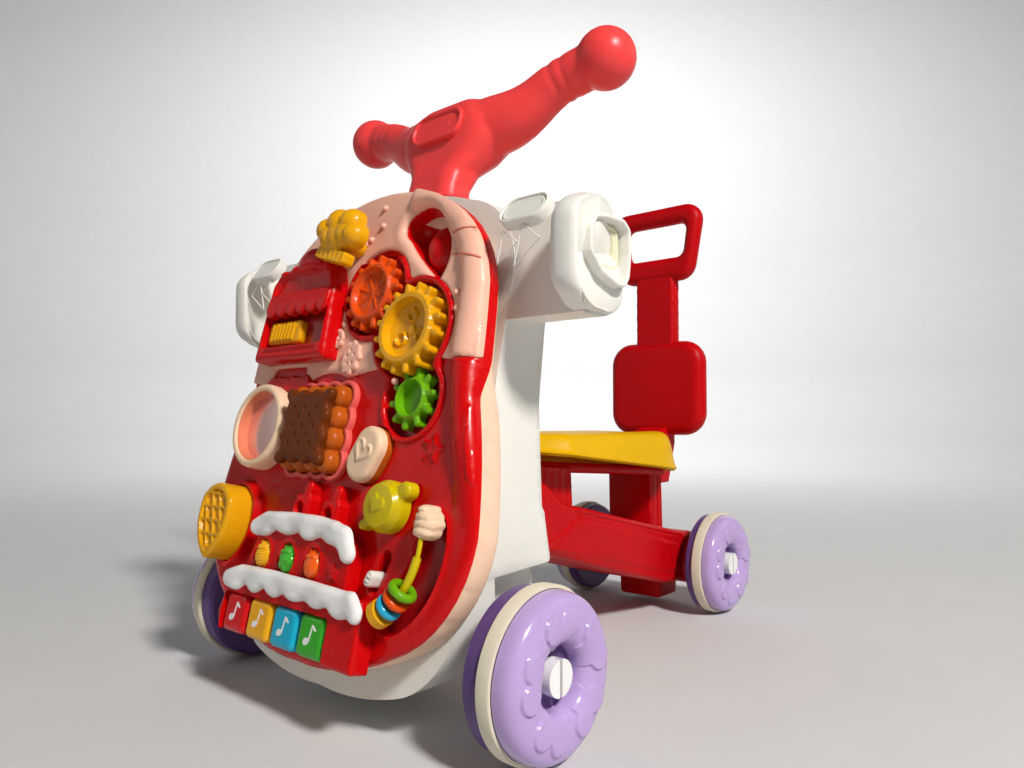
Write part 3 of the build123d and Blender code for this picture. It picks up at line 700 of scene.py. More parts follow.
def floor_material():
    """A plain pale studio floor with a faint mottle."""
    material = plastic("studio_floor", (0.66, 0.66, 0.66), 0.85, shade=0.02, grain=0.0)
    material.node_tree.nodes["Principled BSDF"].inputs["Specular IOR Level"].default_value = 0.05
    return material


WHITE = plastic("white_plastic", (0.80, 0.79, 0.73), 0.34, shade=0.05, glow=0.12, ripple=0.06)
# Painted shade: white plastic tinted cream-yellow for the yellowish shade seen inside the arm
# sockets.
SOCKET_SHADE_CREAM = plastic("cream_plastic_light", (0.74, 0.70, 0.50), 0.36, shade=0.06)
# Painted light: the tray's peach tint stands in for red bounce light from the panel on cream
# plastic.
TRAY_PEACH_BOUNCE = plastic("cream_plastic", (0.86, 0.58, 0.42), 0.36, shade=0.06, glow=0.15)
PINK = plastic("pink_plastic", (0.90, 0.50, 0.37), 0.30, shade=0.07, glow=0.15, ripple=0.05)
RED = plastic(
    "red_plastic", (0.62, 0.002, 0.003), 0.24, shade=0.10, coat=0.12, ripple=0.05, gloss=0.18
)
# Painted shade: a darker copy of the panel red for the floors of recesses, where shade falls.
RECESS_SHADE_RED = plastic("red_plastic_dark", (0.36, 0.003, 0.005), 0.25, shade=0.15, coat=0.2)
FRAME_RED = plastic(
    "red_plastic_frame", (0.52, 0.001, 0.004), 0.38, shade=0.10, ripple=0.05, gloss=0.14
)
CORAL = plastic("coral_plastic", (0.88, 0.06, 0.06), 0.33, shade=0.08, glow=0.10, ripple=0.04)
YELLOW = plastic(
    "yellow_plastic", (0.80, 0.38, 0.004), 0.26, shade=0.10, coat=0.15, glow=0.08, gloss=0.2
)
SEAT_YELLOW = plastic(
    "yellow_plastic_seat", (0.72, 0.41, 0.001), 0.40, shade=0.07, glow=0.05, gloss=0.12
)
ORANGE = plastic(
    "orange_plastic", (0.74, 0.075, 0.004), 0.28, shade=0.12, coat=0.12, glow=0.08, gloss=0.18
)
GREEN = plastic(
    "green_plastic", (0.14, 0.40, 0.004), 0.28, shade=0.12, coat=0.15, glow=0.08, gloss=0.18
)
LIME = plastic(
    "lime_plastic", (0.62, 0.48, 0.003), 0.26, shade=0.10, coat=0.15, glow=0.08, gloss=0.2
)
BROWN = plastic("brown_plastic", (0.15, 0.030, 0.003), 0.34, shade=0.2, grain=0.12, gloss=0.15)
CARAMEL = plastic(
    "brown_plastic_caramel", (0.50, 0.10, 0.008), 0.28, shade=0.2, grain=0.08, glow=0.1, gloss=0.2
)
ROSE = plastic("pink_plastic_rose", (0.80, 0.12, 0.10), 0.32, shade=0.10, glow=0.1)
IVORY = plastic("ivory_plastic", (0.86, 0.62, 0.42), 0.34, shade=0.06, glow=0.15)
SALMON = plastic("pink_plastic_seam", (0.74, 0.22, 0.12), 0.34, shade=0.08)
BLUE = plastic("blue_plastic", (0.02, 0.38, 0.60), 0.2, shade=0.12, coat=0.3)
ICING = plastic("icing_plastic", (0.86, 0.86, 0.85), 0.12, shade=0.04, coat=0.25)
KEY_RED = plastic("red_plastic_key", (0.66, 0.006, 0.01), 0.12, shade=0.1, coat=0.25)
KEY_YELLOW = plastic("yellow_plastic_key", (0.88, 0.42, 0.01), 0.12, shade=0.1, coat=0.25)
KEY_BLUE = plastic("blue_plastic_key", (0.01, 0.42, 0.62), 0.12, shade=0.1, coat=0.25)
KEY_GREEN = plastic("green_plastic_key", (0.04, 0.40, 0.02), 0.12, shade=0.1, coat=0.25)
LILAC = plastic("lilac_plastic", (0.50, 0.36, 0.68), 0.15, shade=0.09, coat=0.3, glow=0.06)
PURPLE = plastic("purple_plastic", (0.12, 0.06, 0.22), 0.38, shade=0.15)
TREAD = plastic("tread_plastic", (0.72, 0.66, 0.52), 0.6, shade=0.08, grain=0.35, grain_scale=500)
STEEL = metal("steel_metal", (0.58, 0.58, 0.6), 0.3)
FILM = glitter_mirror("mirror_film")

FRUIT = {
    1: plastic("clear_yellow_plastic", (0.90, 0.45, 0.01), 0.14, shade=0.12, coat=0.3, glow=0.35),
    2: plastic("clear_green_plastic", (0.06, 0.42, 0.03), 0.14, shade=0.12, coat=0.3, glow=0.35),
    3: plastic("clear_orange_plastic", (0.88, 0.13, 0.01), 0.14, shade=0.12, coat=0.3, glow=0.35),
}


# ---- toy panel -----------------------------------------------------------------------
U, V = 0, 1
HALF_EDGE = [
    ((0, 45), (52, 49), (100, 66)),
    ((100, 66), (141, 99), (157, 148)),
    ((157, 148), (151, 192), (139, 240)),
    ((139, 240), (137, 282), (133, 322)),
    ((133, 322), (109, 369), (62, 400)),
    ((62, 400), (32, 409), (0, 412)),
]
edge_points = arcs(*HALF_EDGE, steps=8) + [(0, 412)]
PANEL_LOW, PANEL_HIGH = (-164, 38), (164, 418)
panel_edge = sampled(
    polygon(edge_points + [(-u, v) for u, v in edge_points[-2:0:-1]]), PANEL_LOW, PANEL_HIGH
)

YELLOW_GEAR = (68.0, 289.0)
ORANGE_GEAR = (
    YELLOW_GEAR[U] + 60 * math.cos(math.radians(146.6)),
    YELLOW_GEAR[V] + 60 * math.sin(math.radians(146.6))
)
GREEN_GEAR = (
    YELLOW_GEAR[U] + 52 * math.cos(math.radians(-78.7)),
    YELLOW_GEAR[V] + 52 * math.sin(math.radians(-78.7))
)
gear_wells = join(disc(YELLOW_GEAR, 37.5), disc(ORANGE_GEAR, 33.5), disc(GREEN_GEAR, 28), soft=6)
drop_hole = polygon(arcs(
    ((85, 327), (92, 346), (84, 367)),
    ((84, 367), (62, 388), (43, 385)),
    ((43, 385), (37, 376), (44, 365)),
    ((44, 365), (63, 345), (85, 327)),
))

BISCUIT = (-20.0, 214.0)
lobes = [
    disc((BISCUIT[U] + s * 25, BISCUIT[V] + (i - 1.5) * 50 / 3), 9) for s in (-1, 1)
    for i in range(4)
]
lobes += [
    disc((BISCUIT[U] + (i - 1.5) * 50 / 3, BISCUIT[V] + s * 25), 9) for s in (-1, 1)
    for i in range(4)
]
biscuit_shape = join(block(BISCUIT, 50, 50), *lobes)
POPSICLE, POPSICLE_TURN = (48.0, 196.0), -28.0
POT = (80.0, 161.0)
WAFFLE = (-113.0, 134.0)
RING = (-95.0, 215.0)
OVEN = (-66.0, 295.0)
HAT = (-14.0, 366.0)
SWITCH, SWITCH_TURN = (76.0, 118.0), 68.0
RAIL, RAIL_RADIUS, RAIL_HEIGHT = (68.6, 139.2), 53.0, 10.0
waffle_shape = polygon([
    (WAFFLE[U] + u, WAFFLE[V] + v)
    for u, v in arcs(
        ((-22, 18), (0, 30), (22, 18)),
        ((22, 18), (20, -12), (4, -30)),
        ((4, -30), (0, -31.5), (-4, -30)),
        ((-4, -30), (-20, -12), (-22, 18)),
    )
])


def on_rail(angle, offset=0.0):
    turn = math.radians(angle)
    return (
        RAIL[U] + (RAIL_RADIUS + offset) * math.cos(turn), RAIL[V]
        + (RAIL_RADIUS + offset) * math.sin(turn)
    )


rail_slot = stroke([on_rail(a) for a in range(-61, 12, 6)], 13)
tube_line = [
    (50, 398), (70, 391), (88, 380), (102, 368), (112, 352), (118, 336), (122, 318), (123, 295),
    (123, 268)
]
tube_shape = stroke(tube_line, 12)
plate_line = polygon(arcs(
    ((-170, 256), (-130, 255), (-104, 249)),
    ((-104, 249), (-80, 243), (-56, 250)),
    ((-56, 250), (-30, 260), (0, 256)),
    ((0, 256), (60, 264), (170, 262)),
) + [(170, 262), (170, 430), (-170, 430)])
icon_plate = stroke([(146, 228), (150, 208), (154, 188)], 7.5)


def seam(p, points, width, depth):
    """A moulded line: a small groove along a line."""
    return -depth * bump(stroke(points, width * 0.5)(p), width)


def upper(p):
    """How far a panel point is into the upper part, where the tray is set back."""
    t = np.clip((p[:, 1] - 232) / 36, 0, 1)
    return t * t * (3 - 2 * t)


def make_base():
    """The red moulding with its wells, rolled over at the edge."""
    holes = [
        gear_wells, drop_hole, grow(biscuit_shape, 1.2),
        block(POPSICLE, 30.6, 43.6, 14.8, POPSICLE_TURN)
    ]
    holes += [rail_slot, block(SWITCH, 30, 10, 4.9, SWITCH_TURN), grow(waffle_shape, 1.0)]
    shape = cut(panel_edge, *holes)
    swirl = star((108, 203), 5, 12, 6.5, 80)
    rolled = stroke([(123, 272), (127, 250), (132, 228), (138, 205), (144, 184), (147, 166)], 13)

    def top(p, depth):
        covered = bump(plate_line(p), 6)
        edge = (
            -drop(-panel_edge(p), 9.0 - 6.5 * covered) * (0.42 + 0.58 * covered)
            - 2.6 * covered * bump(-1.6 - panel_edge(p), 0.8)
        )
        for hole in holes:
            edge -= drop(hole(p), 1.6)
        ridge = (
            2.4 * bump(star((108, 203), 5, 11, 5, 80)(p), 2.4)
            - 1.2 * bump(star((108, 203), 5, 7, 3, 80)(p), 2.0)
        )
        ridge += 1.4 * bump(icon_plate(p), 2.2)
        for k, (u, v) in enumerate(((147, 222), (149.5, 211), (152, 200), (154.5, 190))):
            ridge += 0.9 * bump(disc((u, v), 2.6 - 0.3 * (k % 2))(p), 1.4)
        ridge += 0.8 * bump(stroke([(148, 217), (153, 195)], 0.7)(p), 1.2)
        bezel = 6 * bump(grow(waffle_shape, 6)(p), 1.6)
        rim = 1.6 * bump(np.abs(rail_slot(p) - 1.6) - 1.4, 1.6)
        sparkle = sum(
            0.8 * bump(star(c, 4, 5, 1.6)(p), 1.2) for c in ((-72, 170), (24, 168), (-60, 160))
        )
        rope = np.sqrt(np.clip(13.0**2 - (rolled(p) + 13) ** 2, 0, None)) - 5.0
        rope = np.maximum(rope, 0) * np.clip((p[:, 1] - 150) / 60, 0, 1) * (1 - covered)
        return edge + ridge + bezel + rim + sparkle + rope

    lines = [(panel_edge, -level) for level in edge_levels(9.0)]
    lines += [(hole, level) for hole in holes for level in (0.5, 1.6)]
    lines += [(grow(waffle_shape, 6), -0.8), (grow(waffle_shape, 6), 0.8)]
    lines += [(swirl, 0.6), (swirl, -0.6), (icon_plate, 0.8), (icon_plate, -0.8)]
    lines += [(rolled, -level) for level in (1.0, 3.0, 6.0, 9.5)]
    lines += [(panel_edge, -4.6), (panel_edge, -5.1)]

    def under(p, depth):
        return np.where(-panel_edge(p) < 4.9, -4.5 - 7.4 * upper(p), -11.95)

    solid = relief(shape, PANEL_LOW, PANEL_HIGH, top, under, spacing=2.6, lines=lines, step=1.0)
    make("panel_moulding", solid, RED, replaces=["panel_base"], where=PANEL)
    lolly_hole = block(POPSICLE, 30.6, 43.6, 14.8, POPSICLE_TURN)
    rim = cut(grow(gear_wells, 4.6), grow(gear_wells, -0.1), lolly_hole)
    solid = relief(
        rim, (-30, 200), (120, 350),
        lambda p, d: 2.4 + 2.8 * np.clip((p[:, 1] - 252) / 16, 0, 1) - drop(d, 2.2), -1.0, 1.6,
        edge=2.2, step=0.8
    )
    make("gear_well_rim", solid, RED, where=PANEL)
    # The well floor is painted darker red as the shade inside the wells.
    floor = cut(grow(panel_edge, -9), grow(drop_hole, 1.0))
    solid = relief(floor, PANEL_LOW, PANEL_HIGH, -8.0, -11.6, spacing=6.0, step=1.5)
    make("well_floor", solid, RECESS_SHADE_RED, where=PANEL)
    rim = evenly(contour(grow(drop_hole, 0.3), (20, 310), (110, 400), 1.0)[0], 2.0)
    centre = rim.mean(axis=0)
    rings = []
    for inset, height in ((0, -1), (1.0, -8), (2.5, -14), (6, -18.5), (12, -19.6)):
        reach = np.linalg.norm(rim - centre, axis=1)
        ring = centre + (rim - centre) * ((reach - inset) / reach).clip(0.1)[:, None]
        rings.append(np.column_stack([ring, np.full(len(ring), height)]))
    cup = loft(rings, caps=False)
    cup[1].append(tuple(range(4 * len(rim), 5 * len(rim))))
    make("drop_cup", cup, RED, where=PANEL)
    dome = ball((73, 356, -21), (17, 22, 22), 48)
    make("drop_dome", turned(dome, PANEL), RED)
    for name, centre, floor_h in (
        ("yellow", YELLOW_GEAR, 4), ("orange", ORANGE_GEAR, 3), ("green", GREEN_GEAR, -1)
    ):
        pin = lathe(
            [(0.01, -8), (3.9, -8), (3.9, floor_h - 6.5), (3.4, floor_h - 6), (0.01, floor_h - 6)],
            24, closed=False
        )
        make(f"gear_post_{name}", shifted(pin, centre), RED, where=PANEL)


def make_fascia():
    """The peach cover over the upper half with its rolled carrying handle."""
    slot = block((-80, 262.5), 50, 10, 5)
    outline = grow(panel_edge, -0.3)
    holes = [
        grow(gear_wells, 4.4), grow(drop_hole, 0.5), disc(RING, 36.5), grow(biscuit_shape, 5.6),
        slot
    ]
    shape = cut(overlap(outline, plate_line), *holes)
    soft_edge = {1: 7.0}

    def face(p):
        out = 3.0 - drop(-outline(p), 5.0)
        rope = np.sqrt(np.maximum(13.0**2 - (tube_shape(p) + 12) ** 2, 0)) - 4.4
        out = np.maximum(out, np.where(tube_shape(p) < 1, rope, -20))
        near = np.clip(drop_hole(p) / 16, 0, 1)
        return out + 2.2 * (1 - near) ** 2 * (tube_shape(p) > 0)

    def top(p, depth):
        out = face(p) - np.where(-plate_line(p) < 1.5, drop(-plate_line(p), 1.5), 0)
        for index, hole in enumerate(holes):
            out -= drop(hole(p), soft_edge.get(index, 1.2))
        return out

    lines = [(outline, -level) for level in edge_levels(5.0)]
    lines += [(hole, level) for hole in holes for level in (0.4, 1.2)]
    lines += [(drop_hole, level) for level in (2.0, 3.5, 5.5, 7.5)]
    lines += [(tube_shape, -level) for level in (0.2, 1.5, 3.5, 6.0, 9.0)]
    lines.append((outline, -1.2))

    def under(p, depth):
        return np.where(-outline(p) < 1.0, -3.2, 0.05)

    solid = relief(shape, PANEL_LOW, PANEL_HIGH, top, under, spacing=2.2, lines=lines, step=1.0)
    make("fascia_moulding", solid, PINK, replaces=["panel_fascia"], where=PANEL, crease=50)

    def over(points):
        return np.column_stack([points, face(points)])

    for index, ends in enumerate((((98, 359), (119, 360.5)), ((98, 344), (128, 336)))):
        line = np.linspace(ends[0], ends[1], 24)
        route = over(line) + np.array([0, 0, 0.05])
        make(f"handle_seam_{index + 1}", tube(route, 0.75, 10, up=(0.3, 1, 0)), SALMON, where=PANEL)
    spots = [
        (9, 397), (11, 381), (-6, 368), (-12, 363), (-1, 371), (-30, 352), (-14, 300), (109, 313),
        (112, 301), (60, 250.5)
    ]
    beads = []
    for u, v in spots:
        height = float(face(np.array([[u, v]], float))[0])
        beads.append(ball((u, v, height + 0.2), (2.7, 2.7, 3.0), 20))
    make("fascia_beads", combine(*beads), PINK, where=PANEL)
    for index, (centre, wide, tall, turn) in enumerate(
        (((4, 271), 19, 24, -20), ((-18, 288), 12, 12, 10))
    ):
        rounds = [
            (0.5 * wide * math.cos(a), 0.5 * tall * math.sin(a))
            for a in np.linspace(0, TAU, 9, endpoint=False)
        ]
        cookie = join(
            oval(centre, wide * 0.5, tall * 0.5, turn),
            *[disc((centre[0] + a, centre[1] + b), 2.3) for a, b in rounds], soft=1.2
        )
        pits = [
            disc(
                (centre[0] + 0.24 * wide * math.cos(a), centre[1] + 0.24 * tall * math.sin(a)), 1.3
            )
            for a in np.linspace(0.4, TAU + 0.4, 5, endpoint=False)
        ]

        def cookie_top(p, depth, pits=pits):
            return 6.2 - drop(depth, 1.0) - 1.8 * sum(bump(pit(p), 0.9) for pit in pits)

        low, high = box_around(centre, -wide, -tall, wide, tall)
        solid = relief(cookie, low, high, cookie_top, 2.4, 0.8, edge=1.0)
        make(f"fascia_cookie_{index + 1}", solid, PINK, where=PANEL)
    wave = join(*[disc((-101 + k * 9.6, 252 + (k % 2)), 7.2) for k in range(6)], soft=2)
    plate = relief(
        wave, (-115, 238), (-40, 264), lambda p, d: 5.0 - drop(d, 2.0), 0.2, 1.2, edge=2.0
    )
    make("slot_ledge", plate, RED, where=PANEL)


def gear_shape(centre, teeth, spin, root, tip, half_width):
    """A gear as a disc with round-ended teeth."""

    def distance(p):
        x, y = p[:, 0] - centre[0], p[:, 1] - centre[1]
        pitch = TAU / teeth
        angle = (np.arctan2(y, x) - math.radians(spin) + pitch / 2) % pitch - pitch / 2
        r = np.hypot(x, y)
        a, b = r * np.cos(angle), r * np.sin(angle)
        tooth = np.hypot(
            np.maximum(np.maximum(root - 3 - a, a - (tip - half_width)), 0), b
        ) - half_width
        plate = r - root
        mix = np.maximum(1.6 - np.abs(tooth - plate), 0) / 1.6
        return np.minimum(tooth, plate) - mix * mix * 1.6 / 4

    return distance


def gear_spin(own_teeth, bearing):
    pitch = 360.0 / 16
    lag = (bearing - 146.6) % pitch
    return bearing + 180 + lag * 16 / own_teeth + 180 / own_teeth


def make_gears():
    """Three meshing gears, each with its own face."""
    face = {
        "gear_yellow": (YELLOW_GEAR, 16, 146.6, 12.0, YELLOW, 22.0),
        "gear_orange": (ORANGE_GEAR, 14, gear_spin(14, 146.6), 11.0, ORANGE, 19.5),
        "gear_green": (GREEN_GEAR, 10, gear_spin(10, -78.7), 4.0, GREEN, 12.5),
    }
    for name, (centre, teeth, spin, rim, material, cup) in face.items():
        radius = 2.0 * teeth
        root = radius - 4.2
        shape = gear_shape(centre, teeth, spin, root, radius + 3.0, 2.5)

        def top(
            p, depth, centre=centre, teeth=teeth, spin=spin, rim=rim, cup=cup, root=root, name=name
        ):
            x, y = p[:, 0] - centre[0], p[:, 1] - centre[1]
            r = np.hypot(x, y)
            out = rim - 2.0 - drop(depth, 1.6)
            shoulder = bump(r - root + 0.8, 1.4)
            out = out * (1 - shoulder) + (
                rim - 0.4 * np.clip((r - root + 3) / 3, 0, 1) ** 2
            ) * shoulder
            inner = bump(r - cup, 1.4)
            if name == "gear_orange":
                sector = (np.arctan2(y, x) + 0.3) % (TAU / 8) - TAU / 16
                wedge = np.minimum(r * (math.pi / 8 - np.abs(sector)) - 0.35, cup - 0.8 - r)
                dish = rim - 4.2 - 1.2 * np.clip(wedge / 0.9, 0, 1)
            elif name == "gear_yellow":
                dish = rim - 9.5 + 3.0 * np.clip((r - 9) / (cup - 9), 0, 1) ** 2
                for k in range(3):
                    angle = math.radians(215 + 120 * k)
                    knob = np.hypot(x - 11.5 * math.cos(angle), y - 11.5 * math.sin(angle)) - 4.6
                    dish += 2.6 * bump(np.abs(knob) - 0.8, 1.2)
                dish += 1.8 * bump(r - 4.2, 1.6)
            else:
                dish = rim - 7.0 + 0.8 * np.clip(1 - r / cup, 0, 1)
            out = out * (1 - inner) + dish * inner
            return out

        lines = [(shape, -level) for level in edge_levels(1.6, 3)]
        lines += [(disc(centre, root - 0.8), s) for s in (-0.7, 0.7)]
        lines += [(disc(centre, cup), s) for s in (-0.7, 0.7)]
        box_r = radius + 6
        low = (centre[0] - box_r, centre[1] - box_r)
        high = (centre[0] + box_r, centre[1] + box_r)
        solid = relief(shape, low, high, top, -6.6, spacing=1.15, lines=lines, step=0.8)
        make(f"{name}_toy", solid, material, body=name, replaces=[name], where=PANEL)


def make_oven():
    """The toy oven: a thick rounded frame, a domed roof, an awning and a recessed window whose
    floor is painted darker red as shade.
    """
    front = polygon(
        [
            (OVEN[U] + u, OVEN[V] + v) for u,
            v in ((-51, -25), (49, -25), (45, 40), (36, 58), (-8, 60), (-36, 56), (-46, 44))
        ]
    )
    front = sampled(
        grow(front, -7), (OVEN[U] - 60, OVEN[V] - 34), (OVEN[U] + 60, OVEN[V] + 78), 0.8
    )
    sign = oval((OVEN[U] + 8, OVEN[V] + 60), 19, 13)
    outline = join(grow(front, 7), sign, soft=6)
    window = block((OVEN[U], OVEN[V] + 3), 86, 32, 4)
    hood = overlap(grow(front, 0.5), lambda p: OVEN[V] + 20 - p[:, 1])
    buds = [(OVEN[U] + u, OVEN[V] + v) for u, v in ((-30, 53), (-16, 58), (32, 52))]

    def top(p, depth):
        out = 18.5 - drop(depth, 5.0)
        out -= 11.5 * bump(window(p), 1.4)
        out -= 4.0 * bump(hood(p), 3.0) * (1 - bump(window(p) - 2, 1.4))
        out += (
            4.5 * np.sqrt(np.clip(-sign(p) / 11, 0, 1))
            * np.clip((p[:, 1] - OVEN[V] - 48) / 8, 0, 1)
        )
        for u, v in buds:
            out += 2.2 * dome_over(p, u, v, 4.2)
        return out - 1.2 * bump(block((OVEN[U], OVEN[V] - 18), 74, 2.4, 1.2)(p), 1.2)

    lines = [
        (window, 0.7), (window, -0.7), (hood, 1.4), (hood, -1.4), (sign, -0.5), (sign, -2.5),
        (sign, -5.0)
    ]
    low, high = box_around(OVEN, -58, -32, 58, 76)
    solid = relief(outline, low, high, top, 3.1, 1.6, edge=5.0, lines=lines, step=0.9)
    make("oven_frame", solid, RED, replaces=["oven_body"], where=PANEL)
    # The window pane is painted darker red as the shade in the recess.
    pane = relief(grow(window, -0.8), low, high, 7.35, 6.6, 4.0, step=1.0)
    make("oven_recess", pane, RECESS_SHADE_RED, where=PANEL)
    scallops = [disc((OVEN[U] + (i - 2.5) * 14.6, OVEN[V] + 21), 7.6) for i in range(6)]
    awning = join(block((OVEN[U], OVEN[V] + 28), 88, 14, 4), *scallops, soft=1.5)

    def awning_top(p, depth):
        return 20.5 - drop(depth, 2.4) - 2.0 * np.clip((p[:, 1] - OVEN[V] - 24) / 12, 0, 1)

    solid = relief(
        awning, (OVEN[U] - 50, OVEN[V] + 8), (OVEN[U] + 50, OVEN[V] + 42), awning_top, 12.5, 1.3,
        edge=2.4, step=0.9
    )
    make("oven_awning", solid, RED, where=PANEL)
    slider_u = OVEN[U] - 17
    slider = block((slider_u, OVEN[V] + 0.5), 46, 20, 4)

    def slider_top(p, depth):
        out = 14.5 - drop(depth, 2.2)
        for i in range(7):
            u = slider_u - 15 + i * 5
            rib = stroke([(u - 0.8, OVEN[V] - 6), (u + 0.8, OVEN[V] + 7)], 1.2)
            out += 2.4 * bump(rib(p), 1.8)
        return out

    low, high = (slider_u - 25, OVEN[V] - 12), (slider_u + 25, OVEN[V] + 13)
    solid = relief(slider, low, high, slider_top, 7.5, 0.8, edge=2.2)
    make("oven_handle", solid, YELLOW, body="oven_slider", replaces=["oven_slider"], where=PANEL)


def make_hat():
    """A puffy chef's hat on its pleated band."""
    puffs = [
        (-20, 10, 11), (-5, 15, 12), (13, 12, 12), (21, -1, 10.5), (0, 2, 15), (10, 2, 13),
        (-12, 2, 12)
    ]
    puffs = [(HAT[U] + u * 0.9, HAT[V] + v * 0.9, r) for u, v, r in puffs]
    band = block((HAT[U] - 3.5, HAT[V] - 15), 41, 10.5, 3.2, -17)
    shape = join(*[disc((u, v), r) for u, v, r in puffs], band, soft=1.5)
    c, s = math.cos(math.radians(-16)), math.sin(math.radians(-16))

    def top(p, depth):
        height = np.full(len(p), 22.0)
        for u, v, r in puffs:
            dome = dome_over(p, u, v, r * 1.02)
            height = np.maximum(height, 22 + 12.5 * dome)
        along = (p[:, 0] - HAT[U]) * c + (p[:, 1] - HAT[V]) * s
        on_band = bump(band(p), 1.6)
        pleats = 0.9 * np.cos(along * TAU / 6.2)
        height = height * (1 - on_band) + (28.5 + 0.5 * pleats) * on_band
        return height - drop(depth, 1.2)

    lines = [(band, 0.8), (band, -0.8)]
    low, high = box_around(HAT, -36, -28, 36, 34)
    solid = relief(shape, low, high, top, 18.6, 1.0, edge=1.2, lines=lines)
    make("chef_hat_toy", solid, YELLOW, body="chef_hat", replaces=["chef_hat"], where=PANEL)
    stem = lathe([(5.0, 3.6), (9, 3.6), (9, 18.9), (5.0, 18.9)], 32)
    make("hat_stem", shifted(stem, HAT), YELLOW, body="chef_hat", where=PANEL)


def make_mirror():
    """A cream ring with a coral wall round a reflecting disc."""
    ring = lathe(
        [
            (29.6, 3), (29.6, 13.4), (30.2, 14.8), (31.6, 15.4), (33.8, 15.1), (35.2, 13.8),
            (35.8, 11), (36, 0.3), (30, 0.3)
        ],
        96
    )
    make("mirror_surround", shifted(ring, RING), IVORY, replaces=["mirror_ring"], where=PANEL)
    lining = lathe([(28.2, 4.6), (29.55, 4.6), (29.55, 13.2), (29.0, 13.0)], 96)
    make("mirror_lining", shifted(lining, RING), SALMON, where=PANEL)
    film = lathe(
        [(0.01, 3.2), (28.5, 3.2), (28.5, 4.6), (18, 5.2), (9, 5.5), (0.01, 5.6)], 96, closed=False
    )
    make("mirror_disc", shifted(film, RING), FILM, replaces=["mirror"], where=PANEL)


def make_biscuit():
    """A sandwich biscuit on a wavy plate."""
    plate = cut(grow(biscuit_shape, 5.0), grow(biscuit_shape, 1.2), disc(RING, 36.3))
    low, high = box_around(BISCUIT, -46, -46, 46, 46)
    solid = relief(plate, low, high, lambda p, d: 4.8 - drop(d, 1.3), 0.1, 1.3, edge=1.3, step=0.9)
    make("biscuit_plate", solid, ROSE, replaces=["biscuit_base"], where=PANEL)
    spots = [
        (BISCUIT[U] + s * 25, BISCUIT[V] + (i - 1.5) * 50 / 3) for s in (-1, 1) for i in range(4)
    ]
    spots += [
        (BISCUIT[U] + (i - 1.5) * 50 / 3, BISCUIT[V] + s * 25) for s in (-1, 1) for i in range(4)
    ]

    def crust(p, depth):
        out = np.full(len(p), 8.0)
        for u, v in spots:
            dome = dome_over(p, u, v, 9.6)
            out = np.maximum(out, 7 + 8.5 * dome)
        return out - drop(depth, 1.4)

    solid = relief(biscuit_shape, low, high, crust, -4.0, 1.2, edge=1.4)
    make(
        "biscuit_crust", solid, CARAMEL, body="biscuit_button", replaces=["biscuit_button"],
        where=PANEL
    )
    cover = join(block(BISCUIT, 51, 51, 10), *[disc(q, 3.4) for q in spots], soft=6)
    holes = [
        (BISCUIT[U] + (i - 1) * 14, BISCUIT[V] + (j - 1) * 14) for i in range(3) for j in range(3)
    ]
    holes += [
        (BISCUIT[U] + (i - 0.5) * 14, BISCUIT[V] + (j - 0.5) * 14) for i in range(2)
        for j in range(2)
    ]

    def top(p, depth):
        out = 20.5 - drop(depth, 3.0)
        for hole in holes:
            out -= 1.8 * bump(disc(hole, 1.3)(p), 1.4)
        return out

    solid = relief(cover, low, high, top, 9.0, 1.0, edge=4.0)
    make("biscuit_top", solid, BROWN, body="biscuit_button", where=PANEL)


def make_popsicle():
    """An ice pop with a heart on its face."""
    shape = block(POPSICLE, 29, 42, 14, POPSICLE_TURN)
    mark = heart((POPSICLE[U] + 1, POPSICLE[V] + 2), 19, POPSICLE_TURN)

    def top(p, depth):
        return 11.5 - drop(depth, 4.0) + 1.5 * bump(mark(p), 1.2) - 0.9 * bump(mark(p) + 2.2, 1.2)

    low, high = box_around(POPSICLE, -28, -28, 28, 28)
    solid = relief(shape, low, high, top, 4.0, 0.9, edge=4.5, lines=[(mark, 0.6), (mark, -0.6)])
    make(
        "popsicle_face", solid, IVORY, body="popsicle_button", replaces=["popsicle_button"],
        where=PANEL
    )
    solid = relief(
        grow(shape, -0.15), low, high, lambda p, d: 4.0 - drop(d, 0.4), -3.0, 2.0, edge=0.4
    )
    make("popsicle_side", solid, CARAMEL, body="popsicle_button", where=PANEL)


def make_pot():
    """A cooking-pot knob with a lid, a handle and a spout."""
    lid = disc(POT, 18)
    handle = disc((POT[U] + 18, POT[V] + 12), 6)
    spout = stroke([(POT[U] - 19, POT[V] - 14), (POT[U] - 12, POT[V] - 9)], 3.4)
    shape = join(lid, handle, spout, soft=4)
    mark = heart((POT[U], POT[V] + 1), 15, -25)

    def top(p, depth):
        r = np.hypot(p[:, 0] - POT[U], p[:, 1] - POT[V])
        out = (
            11.5 - drop(depth, 3.0) + 3.8 * bump(r - 15.5, 2.4)
            + 1.2 * np.clip(1 - (r / 15) ** 2, 0, 1)
        )
        return out + 1.2 * bump(mark(p), 1.2)

    def under(p, depth):
        r = np.hypot(p[:, 0] - POT[U], p[:, 1] - POT[V])
        return 0.7 + 1.4 * np.clip((r - 17) / 2, 0, 1)

    lines = [(disc(POT, 15.5), 1.1), (disc(POT, 15.5), -1.1), (mark, 0.6), (mark, -0.6)]
    low, high = box_around(POT, -32, -28, 30, 26)
    solid = relief(shape, low, high, top, under, 1.0, edge=3.0, lines=lines)
    make("pot_toy", solid, LIME, body="pot_knob", replaces=["pot_knob"], where=PANEL)


